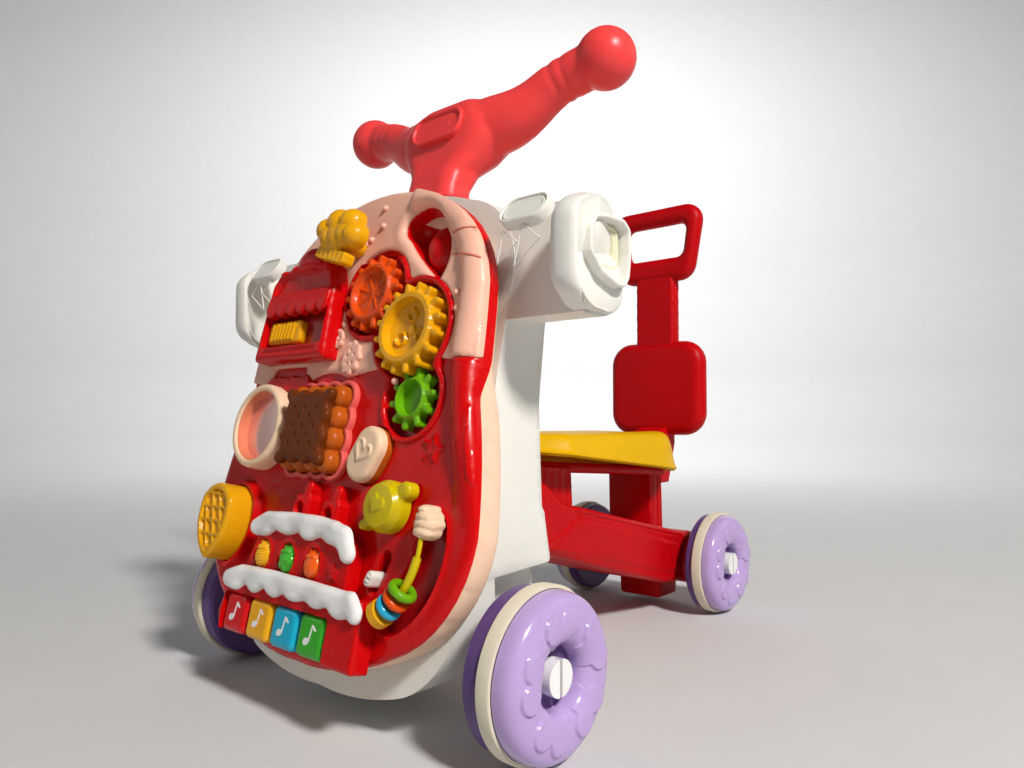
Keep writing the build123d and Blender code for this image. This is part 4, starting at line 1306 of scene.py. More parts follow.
def make_rail():
    """The bent rod with its rings, foot and whipped top."""
    for name, start, end, radius, material in (
        ("rod_thick", -66, -8, 2.8, LIME), ("rod_thin", -8, 12, 1.6, LIME)
    ):
        path = [(*on_rail(a), RAIL_HEIGHT) for a in np.linspace(start, end, 24)]
        replaced = ["ring_rail"] if name == "rod_thick" else []
        make(name, tube(path, radius), material, replaces=replaced, where=PANEL)

    def threaded(angle):
        """Where something threaded on the rod sits, with its own axis along the rod."""
        turn = math.radians(angle)
        axis = np.array([-math.sin(turn), math.cos(turn), 0])
        across = np.array([math.cos(turn), math.sin(turn), 0])
        spot = np.array([*on_rail(angle), RAIL_HEIGHT])
        return spot, np.array([across, np.cross(axis, across), axis])

    stop = lathe([(2.5, -4), (8.4, -4), (9.4, -3), (9.4, 3), (8.4, 4), (2.5, 4)], 48)
    make("rail_stop", turned(turned(stop, threaded(-59)), PANEL), YELLOW)
    rings = {
        "ring_blue": (-50.0, 9.4, BLUE), "ring_orange": (-41.8, 9.4, ORANGE),
        "ring_green": (-33.3, 10.2, GREEN)
    }
    for name, (angle, radius, material) in rings.items():
        section = [
            (radius - 3 + 2.95 * math.cos(t), 2.95 * math.sin(t))
            for t in np.linspace(0, TAU, 20, endpoint=False)
        ]
        ring = turned(lathe(section, 48), threaded(angle))
        make(f"{name}_toy", ring, material, body=name, replaces=[name], where=PANEL)
    top_u, top_v = on_rail(12)
    top_u, top_v = top_u + 1, top_v + 4
    layers = [
        (0, -6.5, 8.8, 4.6), (0.6, -1.6, 10.2, 4.8), (0.2, 3.4, 8.8, 4.4), (-0.4, 7.6, 5.6, 3.6)
    ]
    shape = join(
        *[oval((top_u + u, top_v + v), wide, tall, 8) for u, v, wide, tall in layers], soft=1.0
    )

    def top(p, depth):
        out = np.full(len(p), 6.0)
        for u, v, wide, tall in layers:
            x, y = (p[:, 0] - top_u - u) / wide, (p[:, 1] - top_v - v) / tall
            ripple = 1 + 0.10 * np.cos(6 * np.arctan2(y, x))
            out = np.maximum(out, 6 + 9 * np.sqrt(np.clip(1 - (x * x + y * y) * ripple, 0, 1)))
        return out - drop(depth, 1.0)

    low, high = (top_u - 18, top_v - 20), (top_u + 18, top_v + 20)
    solid = relief(shape, low, high, top, 0.6, 0.9, edge=1.0)
    make("whipped_top", solid, IVORY, replaces=["rail_top"], where=PANEL)


def make_switch():
    """A white toggle in its slot."""
    turn = math.radians(SWITCH_TURN)
    spot = (SWITCH[U] - 6 * math.cos(turn), SWITCH[V] - 6 * math.sin(turn))
    shape = block(spot, 11.5, 7.6, 3.7, SWITCH_TURN)

    def top(p, depth):
        along = (p[:, 0] - spot[0]) * math.cos(turn) + (p[:, 1] - spot[1]) * math.sin(turn)
        return 7.2 - drop(depth, 1.8) - 0.6 * np.cos(along * TAU / 3.2) * bump(shape(p) + 2.2, 1.0)

    low, high = box_around(spot, -10, -10, 10, 10)
    solid = relief(shape, low, high, top, -4.4, 0.6, edge=1.8)
    make("switch_nub", solid, WHITE, body="power_switch", replaces=["power_switch"], where=PANEL)


def make_waffle():
    """A deep waffle button with a raised rim and a grid."""

    def top(p, depth):
        out = 25.4 - drop(depth, 3.0)
        face = bump(-depth + 5.6, 1.4)
        u = (p[:, 0] - WAFFLE[U] + 0.4 * (p[:, 1] - WAFFLE[V])) / 11.0
        v = (p[:, 1] - WAFFLE[V] + 1) / 11.0
        grid = np.minimum(np.abs(u - np.round(u)), np.abs(v - np.round(v))) * 11.0
        ribs = np.clip(1 - np.maximum(grid - 0.8, 0) / 1.0, 0, 1)
        return out - face * (2.8 - 1.9 * ribs)

    lines = [(waffle_shape, -4.9), (waffle_shape, -6.3)]
    low, high = box_around(WAFFLE, -28, -36, 28, 36)
    solid = relief(waffle_shape, low, high, top, -3.0, 0.85, edge=3.0, lines=lines)
    make("waffle_toy", solid, YELLOW, body="waffle_button", replaces=["waffle_button"], where=PANEL)


CAKE_LOW, CAKE_MID, CAKE_TOP = 52.0, 98.0, 144.0
FRUIT_PLACES = (-49.0, -17.0, 15.0)


def icing_strip(line, width, count, seed_shift):
    """A strip of icing along a line, with rounded drips below it and a turned-down end."""
    rng = np.random.default_rng(7 + seed_shift)
    line = np.array(line, float)
    left, right = line[0, 0] - 2, line[-2, 0] + 2
    pitch = (right - left) / count
    blobs = [stroke(line[:-1], width), stroke(line[-2:], width)]
    for i in range(count):
        centre = left + pitch * (i + 0.5)
        deep = rng.uniform(0.8, 1.3)
        low = np.interp(centre, line[:-1, 0], line[:-1, 1]) - width
        blobs.append(oval((centre, low + 2.0), pitch * 0.36, 6.0 * deep))
    return join(*blobs, soft=6.0)


def make_cake():
    """The two-tier cake, its icing, candles, lights and keys."""
    lower = polygon([(-90, 66), (-84, CAKE_LOW), (82, CAKE_LOW), (82, CAKE_MID), (-80, CAKE_MID)])
    upper = polygon(
        [(-74, CAKE_MID - 2), (57, CAKE_MID - 2), (56, 132), (36, CAKE_TOP), (-58, CAKE_TOP - 4)]
    )
    bay = block((-17, 61), 134, 42, 2)
    wells = [oval((u, 114), 9.4, 11.4) for u in FRUIT_PLACES]
    shape = join(lower, upper, soft=3)
    badge = star((41, 112), 5, 7.5, 3.6)

    def top(p, depth):
        out = np.where(lower(p) < 0.8, 15.0, 11.0) - drop(depth, 2.2)
        out -= np.where(bay(p) < 0, 12.4, 0)
        for well in wells:
            out -= 8 * bump(well(p), 1.2) - 1.3 * bump(np.abs(well(p) - 1.6) - 0.9, 1.0)
        return out + 1.6 * bump(badge(p), 1.6)

    lines = [(bay, 0.3), (bay, -0.3)] + [(w, s) for w in wells for s in (-0.6, 0.6)]
    lines += [(lower, 1.2), (lower, 0.4), (badge, 0.5), (badge, -0.5)]
    solid = relief(shape, (-96, 46), (88, 152), top, 0.1, 1.6, edge=2.2, lines=lines, step=0.9)
    make("cake_tiers", solid, RED, replaces=["cake_body"], where=PANEL, crease=50)
    for index, (u, foot) in enumerate(((-14, 140), (22, 138))):
        stick = block((u, foot + 9), 19, 28, 4)
        flame = oval((u + 4, foot + 27), 4.6, 7.0, -15)
        candle = join(stick, flame, soft=2)

        def candle_top(p, depth, u=u, foot=foot):
            out = 10.5 - drop(depth, 2.4)
            out -= 4.5 * bump(disc((u - 1, foot + 12), 5.2)(p), 1.2)
            return out + 1.0 * bump(np.abs(disc((u - 1, foot + 12), 6.6)(p)) - 0.7, 0.9)

        solid = relief(
            candle, (u - 14, foot - 8), (u + 16, foot + 38), candle_top, 0.1, 0.9, edge=2.4
        )
        make(f"candle_{index + 1}", solid, RED, where=PANEL)
    low_line = [(-82, 92), (-66, 97), (-30, 98), (10, 97.5), (50, 96.5), (71, 95), (78, 90)]
    high_line = [(-64, 134), (-52, 140), (-20, 142), (14, 142), (36, 140), (47, 136), (54, 126)]
    strips = ((low_line, 6.8, 6, 15.05, 19.6, 0), (high_line, 6.8, 4, 11.05, 16.0, 3))
    for index, (line, width, count, under, over, shift) in enumerate(strips):
        strip = icing_strip(line, width, count, shift)
        left, right, high, low = line[0][0] - 6, line[-1][0] + 4, 104 + 46 * index, line[-1][1]

        def icing_top(p, depth, over=over):
            swell = 0.6 * np.sin(p[:, 0] * 0.16 + 1.1)
            return over + swell - drop(depth, 5.0)

        solid = relief(
            strip, (left - 10, low - 14), (right + 10, high + 12), icing_top, under, 1.0, edge=5.0
        )
        replaced = ["cake_icing"] if index == 0 else []
        make(f"icing_{index + 1}", solid, ICING, replaces=replaced, where=PANEL)
    for index, u in enumerate(FRUIT_PLACES):
        fruit = oval((u, 113.5), 8.6, 10.0)
        leaves = join(*[oval((u + 4.4 * k, 122), 2.2, 3.4, -25 * k) for k in (-1, 0, 1)], soft=1)
        body_shape = join(fruit, leaves, soft=1.0)

        def fruit_top(p, depth, u=u, index=index):
            x, y = (p[:, 0] - u) / 8.6, (p[:, 1] - 113.0) / 10.0
            dome = 9 + 6.5 * np.sqrt(np.clip(1 - x * x - y * y, 0, 1))
            if index == 0:
                dome += (
                    0.6 * np.cos((p[:, 0] + p[:, 1]) * TAU / 4.4)
                    * np.cos((p[:, 0] - p[:, 1]) * TAU / 4.4)
                )
            elif index == 1:
                dome += 0.8 * np.cos(5 * np.arctan2(y, x)) * np.hypot(x, y)
            else:
                dome -= 0.5 * bump(
                    np.hypot((x * 2.4 + 1) % 1 - 0.5, (y * 2.4 + 1) % 1 - 0.5) - 0.18, 0.12
                )
            return dome + 2.0 * bump(leaves(p), 1.2) - drop(depth, 1.4)

        solid = relief(body_shape, (u - 12, 100), (u + 12, 130), fruit_top, 6.0, 0.7, edge=1.4)
        make(f"fruit_{index + 1}", solid, FRUIT[index + 1], body=f"fruit_button_{index + 1}",
             replaces=[f"fruit_button_{index + 1}"], where=PANEL)
    for index, material in enumerate((KEY_RED, KEY_YELLOW, KEY_BLUE, KEY_GREEN)):
        u = -66.5 + 33 * index
        key = block((u, 67.5), 29.5, 29, 5)
        note = join(
            oval((u - 3, 64), 3.4, 2.6, 20), stroke([(u - 0.2, 65), (u + 1.6, 75)], 0.7),
            stroke([(u + 1.6, 75), (u + 5.4, 72.4)], 0.9)
        )

        def key_top(p, depth, note=note):
            return 14.2 - drop(depth, 4.0) - 0.5 * bump(note(p), 1.0)

        solid = relief(
            key, (u - 17, 50), (u + 17, 85), key_top, 5.5, 0.8, edge=4.0,
            lines=[(note, 0.5), (note, -0.5)]
        )
        make(f"key_{index + 1}", solid, material, body=f"piano_key_{index + 1}",
             replaces=[f"piano_key_{index + 1}"], where=PANEL)
        solid = relief(grow(note, -0.15), (u - 10, 55), (u + 12, 80), 14.35, 13.2, 0.5)
        make(f"key_note_{index + 1}", solid, ICING, body=f"piano_key_{index + 1}", where=PANEL)


make_base()
make_fascia()
make_gears()
make_oven()
make_hat()
make_mirror()
make_biscuit()
make_popsicle()
make_pot()
make_rail()
make_switch()
make_waffle()
make_cake()


# ---- white body, arms and handlebar ---------------------------------------------------
BACK_LINE = [(22, 74), (112, 74), (150, 66), (230, 62), (295, 70), (372, 98), (410, 98)]
body_half = arcs(
    ((0, 22), (55, 24), (92, 33)),
    ((92, 33), (121, 58), (131, 100)),
) + [(131, 100), (131, 300)] + arcs(
    ((131, 306), (116, 365), (72, 391)),
    ((72, 391), (36, 401), (0, 403)),
) + [(0, 403)]
body_front = polygon(body_half + [(-x, z) for x, z in body_half[-2:0:-1]])


def front_line(height, depth):
    """Y of the plane that lies depth behind the panel face."""
    along = (height + depth * SIN) / COS
    return PANEL_FOOT + along * SIN + depth * COS


def make_tray():
    """The tray that wraps the sides of the panel: cream plastic tinted peach with painted red
    bounce light from the panel.
    """
    def outline(p):
        return panel_edge(p) + 0.5 + 9.0 * upper(p)

    def shape(p):
        return np.maximum(outline(p), -22 - panel_edge(p))

    def top(p, depth):
        return np.where(-outline(p) < 4.4, -4.7 - 7.5 * upper(p) - drop(-outline(p), 0.8), -12.2)

    def bottom(p, depth):
        return -26.0 + drop(-outline(p), 4.0)

    lines = [(outline, -level) for level in (0.3, 0.8, 1.6, 2.8, 4.0, 4.35, 4.5)]
    solid = relief(shape, PANEL_LOW, PANEL_HIGH, top, bottom, 4.0, lines=lines, step=1.2)
    make("tray_moulding", solid, TRAY_PEACH_BOUNCE, replaces=["panel_tray"], where=PANEL, crease=45)


def make_body():
    """The white body: the front view carried back to a shaped rear, with wheel arches."""
    arches = [block((s * 156, 51), 100, 122, 12) for s in (-1, 1)]
    arch = join(*arches)
    heights, backs = [z for z, _ in BACK_LINE], [y for _, y in BACK_LINE]

    def back_of(z):
        return AXLE_Y + np.interp(z, heights, backs)

    def skin(p, depth):
        x, z = p[:, 0], p[:, 1]
        out = (back_of(z - 6) + back_of(z) + back_of(z + 6)) / 3 - drop(depth, 15.0)
        flank = np.abs(x) - 106
        out -= np.where(z > 150, 3.0 * np.clip(flank / 25, 0, 1) ** 2, 0)
        for z_line in (104, 236):
            out += seam(p, ((-120, z_line), (120, z_line)), 1.6, 0.9)
        into_arch = bump(arch(p), 1.2)
        return out * (1 - into_arch) + (
            AXLE_Y + 2.0 - drop(np.maximum(-arch(p) + 6, 0), 8)
        ) * into_arch

    def front(p, depth):
        return front_line(p[:, 1], 26.4)

    lines = [(arch, 0.6), (arch, -0.6)] + [(arch, 3.0)]
    solid = relief(
        body_front, (-136, 16), (136, 404), skin, front, 3.6, edge=15.0, lines=lines, step=1.2
    )
    vertices = np.column_stack([solid[0][:, 0], solid[0][:, 2], solid[0][:, 1]])
    faces = [tuple(f)[::-1] for f in solid[1]]
    make(
        "body_moulding", (vertices, faces), WHITE, replaces=["body_shell", "rear_cover"], crease=42
    )
    for side in (-1, 1):
        sleeve = lathe([(4.2, 100), (12.4, 100), (12.4, 146), (11.2, 149.3), (4.2, 149.3)], 40)
        sleeve = set_on(
            sleeve[0], ((0, AXLE_Y, 56), np.array([[0, 1, 0], [0, 0, 1], [side, 0, 0]], float))
        ), sleeve[1]
        make("axle_sleeve_" + ("right" if side > 0 else "left"), sleeve, WHITE)
    for z in (86, 178):
        lug = join(block((0, AXLE_Y + 78), 36, 44, 4), disc((0, AXLE_Y + 98), 18), soft=2)
        lug = cut(lug, disc((0, AXLE_Y + 98), 5.2))
        solid = relief(
            lug, (-22, AXLE_Y + 52), (22, AXLE_Y + 120), lambda p, d, z=z: z + 5 - drop(d, 1.5),
            lambda p, d, z=z: z - 5 + drop(d, 1.5), 1.8, edge=1.5
        )
        make(f"steering_lug_{z}", solid, WHITE)


def arm_ring(x, wide, tall, radius, dy=0.0, dz=0.0, steps=10):
    """A rounded section of the right-hand arm at x."""
    ring = rounded_ring(wide, tall, radius, steps)
    return np.column_stack(
        [np.full(len(ring), float(x)), ARM_Y + dy + ring[:, 0], ARM_Z + dz + ring[:, 1]]
    )


def arm_skin(points, lift):
    """Points (x, height) on the arm's front face, and how far they stand out from it."""
    out = []
    for x, z in points:
        corner = 57 - 42
        rise = z - ARM_Z
        sweep = math.asin(
            max(-1.0, min(1.0, (abs(rise) - corner) / 27))
        ) if abs(rise) > corner else 0.0
        radius = 27 + lift
        y = ARM_Y - 6 - radius * math.cos(sweep)
        out.append(
            (x, y, ARM_Z + math.copysign(corner + radius * math.sin(sweep), rise) if sweep else z)
        )
    return np.array(out)


def make_arms():
    """Both side arms with their collars, drums, square sockets and release buttons."""
    stations = [99, 110, 130, 150, 164, 167.4, 168.2, 169, 176, 183, 187, 192, 197]
    rings = []
    for x in stations:
        pinch = 0.9 if x == 168.2 else 0.0
        rings.append(arm_ring(x, 66 - pinch, 84 - pinch, 27))
    arm = loft(rings)
    points = arm[0].copy()
    points[:, 1] = np.maximum(points[:, 1], front_line(points[:, 2], 26.8))
    points[:, 2] -= (
        6.0 * np.clip((points[:, 2] - ARM_Z - 19) / 21, 0, 1)
        * np.clip((points[:, 0] - 178) / 22, 0, 1)
    )
    arm = points, arm[1]
    cup = []
    profile = (
        (0, -0.8), (0, 0.8), (0.04, 1.8), (0.12, 2.7), (0.3, 3.5), (0.55, 3.4), (0.78, 2.6),
        (0.91, 1.3), (0.98, -0.3), (1.0, -1.5), (0.98, -2.4), (0.3, -2.8)
    )
    for s, out in profile:
        ring = arm_ring(0, 66, 84, 27)
        away = ring - np.array([0, ARM_Y, ARM_Z])
        away /= np.linalg.norm(away, axis=1)[:, None]
        high = (ring[:, 2] - ARM_Z) / 42
        start = 184.5 + 8.5 * np.clip(high, 0, 1) ** 2 + 12 * np.clip(-high - 0.3, 0, 1) ** 1.5
        front = np.clip((ARM_Y + 24 - ring[:, 1]) / 32, 0, 1)
        finish = 205.3 - 28 * np.clip(-high - 0.74, 0, 1) - 9 * (1 - front)
        fade = np.clip((high + 0.95) / 0.35, 0, 1) * front
        crest = np.clip((high - 0.45) / 0.5, 0, 1)
        ring[:, 0] = start + (finish - start) * s
        ring += away * ((out * (1 - 0.7 * crest) + 1.2) * fade - 1.2)[:, None]
        ring[:, 2] -= 6.0 * crest * np.clip((ring[:, 0] - 180) / 22, 0, 1)
        cup.append(ring)
    collar = loft(cup)

    def end_top(p, depth):
        low = np.clip((343 - p[:, 1]) / 40, 0, 1)
        low = low * low * (3 - 2 * low)
        rear = np.clip((p[:, 0] - 22) / 28, 0, 1)
        return (
            205.2 - 8.5 * rear - 0.6 * bump(2 - depth, 4)
            - 11.5 * low * (1 - rear * 0.6) * bump(2.4 - depth, 3.6)
        )

    end_shape = block((ARM_Y - AXLE_Y, ARM_Z - 1.6), 63.5, 75, 25)
    end_face = relief(
        end_shape, (-8, 288), (62, 374), end_top, 186, 1.6,
        lines=[(end_shape, -d) for d in (1, 2.5, 4, 6)], step=1.0
    )
    chin = [(190, 60, 40, 18), (197.5, 60, 40, 18), (199.6, 58.4, 38.4, 17), (200.4, 55, 35, 16)]
    chin = loft([arm_ring(x, w, t, r, 0, -20) for x, w, t, r in chin])
    square = [
        (6.5, 341), (13, 351), (27, 353.5), (47, 353.5), (55, 348), (55.5, 330), (53, 314),
        (48, 307), (39, 306.5), (19, 313), (6.5, 325)
    ]
    square = rounded(polygon(square), 5, (0, 298), (62, 360))
    frame_wall = relief(
        cut(square, grow(square, -3.2)), (0, 298), (62, 360), lambda p, d: 207.8 - drop(d, 1.3),
        188, 1.0, edge=1.3, step=0.5
    )
    floor = relief(grow(square, -3.0), (0, 298), (62, 360), 196.0, 189, 3.0, step=0.8)
    latch = block((35, 334), 31, 31, 8)
    slot = block((36.5, 335), 15, 20, 7)

    def latch_top(p, depth):
        out = 200.5 - drop(depth, 1.4) - 1.2 * bump(-depth + 3.0, 1.2)
        out -= 5.0 * bump(slot(p), 1.0)
        return out + 2.6 * np.sqrt(
            np.clip(1 - ((p[:, 0] - 35) / 6) ** 2 - ((p[:, 1] - 332) / 8) ** 2, 0, 1)
        )

    plate = relief(
        latch, (16, 316), (54, 352), latch_top, 192, 0.8, edge=1.4,
        lines=[(slot, 0.5), (slot, -0.5), (latch, -2.4), (latch, -3.6)]
    )
    shelf = relief(
        block((33, 313.5), 28, 5, 2), (16, 308), (50, 319), lambda p, d: 198.5 - drop(d, 1.2), 192,
        0.9, edge=1.2
    )
    rise = math.radians(35)
    slope = leaning((158.5, ARM_Y - 28.1, ARM_Z + 30.5), rise)
    lip = relief(
        cut(block((0, 0), 41, 25, 12), block((0, 0), 36.8, 20.8, 10.3)), (-26, -18), (26, 18),
        lambda p, d: 1.7 - drop(d, 1.2), -7, 0.9, edge=1.2, step=0.6
    )

    def cap_top(p, depth):
        return 0.9 - drop(depth, 1.2) - 0.5 * bump(-depth + 2.4, 1.2)

    cap = relief(block((0, 0), 36, 20, 9.9), (-22, -14), (22, 14), cap_top, -6, 0.9, edge=1.2)
    arrows = []
    for corners in (
        ((144, 345.5), (157, 336), (139, 323.5)), ((161, 348.5), (176, 336), (154, 320))
    ):
        path = []
        for a, b in zip(corners, corners[1:] + corners[:1]):
            for t in np.linspace(0, 1, 14, endpoint=False):
                path.append((a[0] + (b[0] - a[0]) * t, a[1] + (b[1] - a[1]) * t))
        arrows.append(tube(arm_skin(path + path[:2], 0.05), 0.5, 8, up=(0, 1, 0)))
    for side, name in ((1, "right"), (-1, "left")):
        turn = (lambda s: s) if side > 0 else mirror_x
        make(f"arm_{name}", turn(arm), WHITE, replaces=[f"side_arm_{name}"], crease=30)
        make(f"arm_collar_{name}", turn(collar), WHITE, replaces=[f"arm_end_{name}"], crease=50)
        make(f"arm_end_face_{name}", turn(turned(end_face, SIDE)), WHITE, crease=60)
        make(f"arm_chin_{name}", turn(chin), WHITE, crease=50)
        make(f"arm_socket_{name}", turn(turned(frame_wall, SIDE)), WHITE, crease=50)
        # The socket floor and latch carry the painted yellowish shade of the socket recess.
        make(f"arm_floor_{name}", turn(turned(floor, SIDE)), SOCKET_SHADE_CREAM)
        make(f"arm_latch_{name}", turn(turned(combine(plate, shelf), SIDE)), SOCKET_SHADE_CREAM, crease=50)
        make(f"button_lip_{name}", turn(turned(lip, slope)), WHITE)
        make(
            f"button_cap_{name}", turn(turned(cap, slope)), WHITE, body=f"release_button_{name}",
            replaces=[f"release_button_{name}"]
        )
        make(f"arm_arrows_{name}", turn(combine(*arrows)), WHITE)


def make_handlebar():
    """One blow-moulded bar: neck, hub with a badge plate, swept arms and ball ends."""
    hub_y, hub_z = AXLE_Y + 92, 476
    neck_y = AXLE_Y + 66
    solids = []
    rings = []
    for z, wide, tall, y, radius in (
        (374, 68, 33, neck_y, 13), (398, 67, 34, neck_y, 13), (405, 63, 33, neck_y + 1, 13),
        (418, 60, 35, neck_y + 5, 14), (434, 64, 42, neck_y + 13, 17), (447, 88, 52, hub_y - 2, 22),
        (462, 114, 58, hub_y + 4, 26), (478, 118, 56, hub_y + 5, 25), (492, 98, 46, hub_y + 5, 21),
        (502, 66, 30, hub_y + 5, 14)
    ):
        ring = rounded_ring(wide, tall, radius, 6)
        rings.append(np.column_stack([ring[:, 0], y + ring[:, 1], np.full(len(ring), float(z))]))
    solids.append(loft(rings))
    spots = [
        (0, 0, 474, 24), (24, 4, 475, 26), (44, 8, 477, 26), (62, 11, 480, 24), (78, 14, 487, 20.8),
        (90, 16, 494.5, 18.8), (102, 18, 501, 18.4), (114, 21, 505, 18.6), (128, 23, 508.5, 18.6),
        (144, 26, 512, 18)
    ]
    spots = np.array(spots, float)
    grid = np.linspace(0, len(spots) - 1, 60)
    smooth = np.column_stack([np.interp(grid, range(len(spots)), spots[:, k]) for k in range(4)])
    kernel = np.ones(7) / 7
    padded = np.vstack([np.repeat(smooth[:1], 3, 0), smooth, np.repeat(smooth[-1:], 3, 0)])
    smooth = np.column_stack([np.convolve(padded[:, k], kernel, "valid") for k in range(4)])
    radii = smooth[:, 3].copy()
    for groove in (103.0, 113.0):
        radii -= 1.8 * np.exp(-(((smooth[:, 0] - groove) / 1.2) ** 2))
    path = np.column_stack([smooth[:, 0], hub_y + smooth[:, 1], smooth[:, 2]])
    arm = tube(path, radii, 36)
    knob = ball((146, AXLE_Y + 118, 512), (25, 25, 25), 48)
    for side in (1, -1):
        solids.append(arm if side > 0 else mirror_x(arm))
        solids.append(knob if side > 0 else mirror_x(knob))
    fused("handlebar_moulding", solids, CORAL, 1.5, 9, replaces=["handlebar"])
    for index, z in enumerate((399, 408)):
        ring = rounded_ring(69 - index * 3.5, 36 - index * 0.5, 14.2, 8)
        route = np.column_stack(
            [ring[:, 0], neck_y + index * 1.5 + ring[:, 1], np.full(len(ring), float(z))]
        )
        route = np.vstack([route, route[:1]])
        make(f"neck_bead_{index + 1}", tube(route, 1.6, 10), CORAL)
    lean = math.radians(17)
    badge = leaning((0, hub_y - 23.5, hub_z + 2), lean)
    plate = block((0, 0), 62, 30, 14.0)

    def top(p, depth):
        rim = 2.2 - drop(depth, 1.2)
        inner = bump(-depth + 3.0, 1.2)
        dot = 0.8 * bump(disc((14, 0), 1.6)(p), 0.8)
        return rim - 2.0 * inner + dot

    solid = relief(
        plate, (-35, -18), (35, 18), top, -5.0, 1.0, edge=1.2, lines=[(plate, -2.5), (plate, -3.5)]
    )
    make("handlebar_badge", solid, CORAL, where=badge)


# ---- rear frame, seat and backrest --------------------------------------------------------
def both_sides(
    name, shape, half_width, face, material, body, spacing, edge, replaces=(), lines=(),
    low=(90, -5), high=(480, 340)
):
    """A side view carried across the width, with the same relief on both faces."""

    def top(p, depth):
        return half_width - drop(depth, edge) + face(p, depth)

    def bottom(p, depth):
        return -top(p, depth)

    solid = relief(shape, low, high, top, bottom, spacing, edge=edge, lines=lines, step=1.2)
    make(name, solid, material, body=body, replaces=replaces, where=SIDE, crease=45)


def make_chassis():
    """The red frame from the steering eye to the rear axle, with its posts and foot."""
    side = polygon(
        arcs(((128, 168), (146, 163), (166, 152)), ((166, 152), (182, 141), (204, 136)), steps=8)
        + [(204, 136), (345, 104), (420, 88)]
        + arcs(((420, 88), (452, 76), (458, 52)), steps=8)
        + [(458, 46), (428, 32), (372, 36), (281, 60), (160, 95), (128, 98)]
    )
    lower_panel = polygon(
        [
            (150, 104), (196, 122), (212, 121), (330, 94), (405, 74), (405, 48), (370, 50),
            (281, 72), (160, 100)
        ]
    )
    step_one = stroke([(196, 131), (345, 98), (405, 84)], 1.0)
    step_two = stroke([(200, 126), (345, 93), (392, 82)], 1.0)
    mark = star((352, 71), 5, 9, 4.5, 100)
    sweep = stroke([(150, 100), (170, 108), (186, 121), (200, 127)], 1.0)

    def face(p, depth):
        out = (
            -1.2 * bump(step_one(p), 1.4) - 1.2 * bump(step_two(p), 1.4) - 0.9 * bump(sweep(p), 1.2)
        )
        out += 1.6 * bump(lower_panel(p), 2.0)
        out += 0.9 * bump(np.abs(mark(p)) - 0.7, 1.0) + 0.9 * bump(disc((352, 71), 1.8)(p), 1.0)
        for u, v in ((310, 78), (324, 75), (336, 66), (372, 75), (378, 62)):
            out += 0.9 * bump(disc((u, v), 1.8)(p), 1.0)
        return out

    lines = [
        (lower_panel, 0.8), (lower_panel, -0.8), (step_one, 0.4), (step_two, 0.4), (mark, 0.8),
        (mark, -0.8)
    ]
    both_sides(
        "chassis_moulding", side, 59.0, face, FRAME_RED, "rear", 2.6, 6.0, ["chassis"], lines
    )
    posts = [
        ("front_post", [(151, 140), (224, 126), (221, 172), (150, 178)], 37.5),
        ("rear_post", [(388, 84), (418, 80), (414, 163), (386, 166)], 29.5),
        ("deck", [(150, 170), (417, 153), (417, 163), (150, 181)], 33.5),
        ("foot", [(410, 8), (452, 8), (456, 60), (406, 60)], 27.5),
    ]
    for name, corners, half in posts:
        shape = polygon(corners)

        def plain(p, depth, name=name):
            if "post" in name:
                return -1.4 * bump(np.abs((p[:, 0] % 12) - 6) - 4.6, 1.2) * bump(-depth + 3, 1.5)
            return np.zeros(len(p))

        both_sides(f"chassis_{name}", shape, half, plain, FRAME_RED, "rear", 3.0, 4.0)
    axle = place((0, REAR_AXLE.y, REAR_AXLE.z), (0, 1, 0), (0, 0, 1), (1, 0, 0))
    profile = [
        (4.3, -71.6), (22, -71.6), (26, -70), (28, -66), (28, 66), (26, 70), (22, 71.6), (4.3, 71.6)
    ]
    make("axle_housing", lathe(profile, 56), FRAME_RED, body="rear", where=axle)
    eye = place((0, AXLE_Y + 98, 0), (1, 0, 0), (0, 1, 0), (0, 0, 1))
    profile = [(5.2, 94), (20, 94), (22, 96), (22, 168), (20, 170), (5.2, 170)]
    make("steering_eye", lathe(profile, 48), FRAME_RED, body="rear", where=eye)
    bridge = relief(block((0, AXLE_Y + 118), 34, 36, 3), (-20, AXLE_Y + 96), (20, AXLE_Y + 140),
                    lambda p, d: 164 - drop(d, 2), lambda p, d: 99 + drop(d, 2), 2.5, edge=2.0)
    make("steering_neck", bridge, FRAME_RED, body="rear")


def make_seat():
    """A saddle: a gently dished top, a soft shoulder and a flared skirt."""
    front_y, round_y, half = AXLE_Y + 132, AXLE_Y + 345, 76.0
    plan = polygon(
        [(half, front_y + 40), (half, round_y)]
        + arcs(((half, round_y), (0, round_y + half), (-half, round_y)), steps=40)
        + [(-half, round_y), (-half, front_y + 40)]
        + arcs(((-half, front_y + 40), (0, front_y), (half, front_y + 40)), steps=24)
    )

    def hem(p):
        return 192 - (p[:, 1] - AXLE_Y - 130) * 0.108

    def top(p, depth):
        base = hem(p)
        crown = (
            207.0
            - 3.0 * np.exp(-((p[:, 0] / 38) ** 2)) * np.clip((p[:, 1] - front_y - 20) / 60, 0, 1)
        )
        crown += 1.5 * np.clip((p[:, 1] - round_y) / 60, 0, 1)
        rise = (np.maximum(depth, 0) / 5.6) ** 2.6
        return base + (crown - base) * rise / (1 + rise)

    def bottom(p, depth):
        return np.where(depth < 3.0, hem(p) - 1.2, top(p, depth - 3.0) - 3.6)

    lines = [(plan, -d) for d in (0.5, 1.2, 2.0, 3.2, 4.4, 5.6, 7.0, 8.6, 10.4, 12.5, 15, 18)]
    solid = relief(
        plan, (-80, front_y - 6), (80, round_y + half + 6), top, bottom, 3.4, lines=lines, step=1.2
    )
    make("seat_moulding", solid, SEAT_YELLOW, body="rear", replaces=["seat"], crease=60)


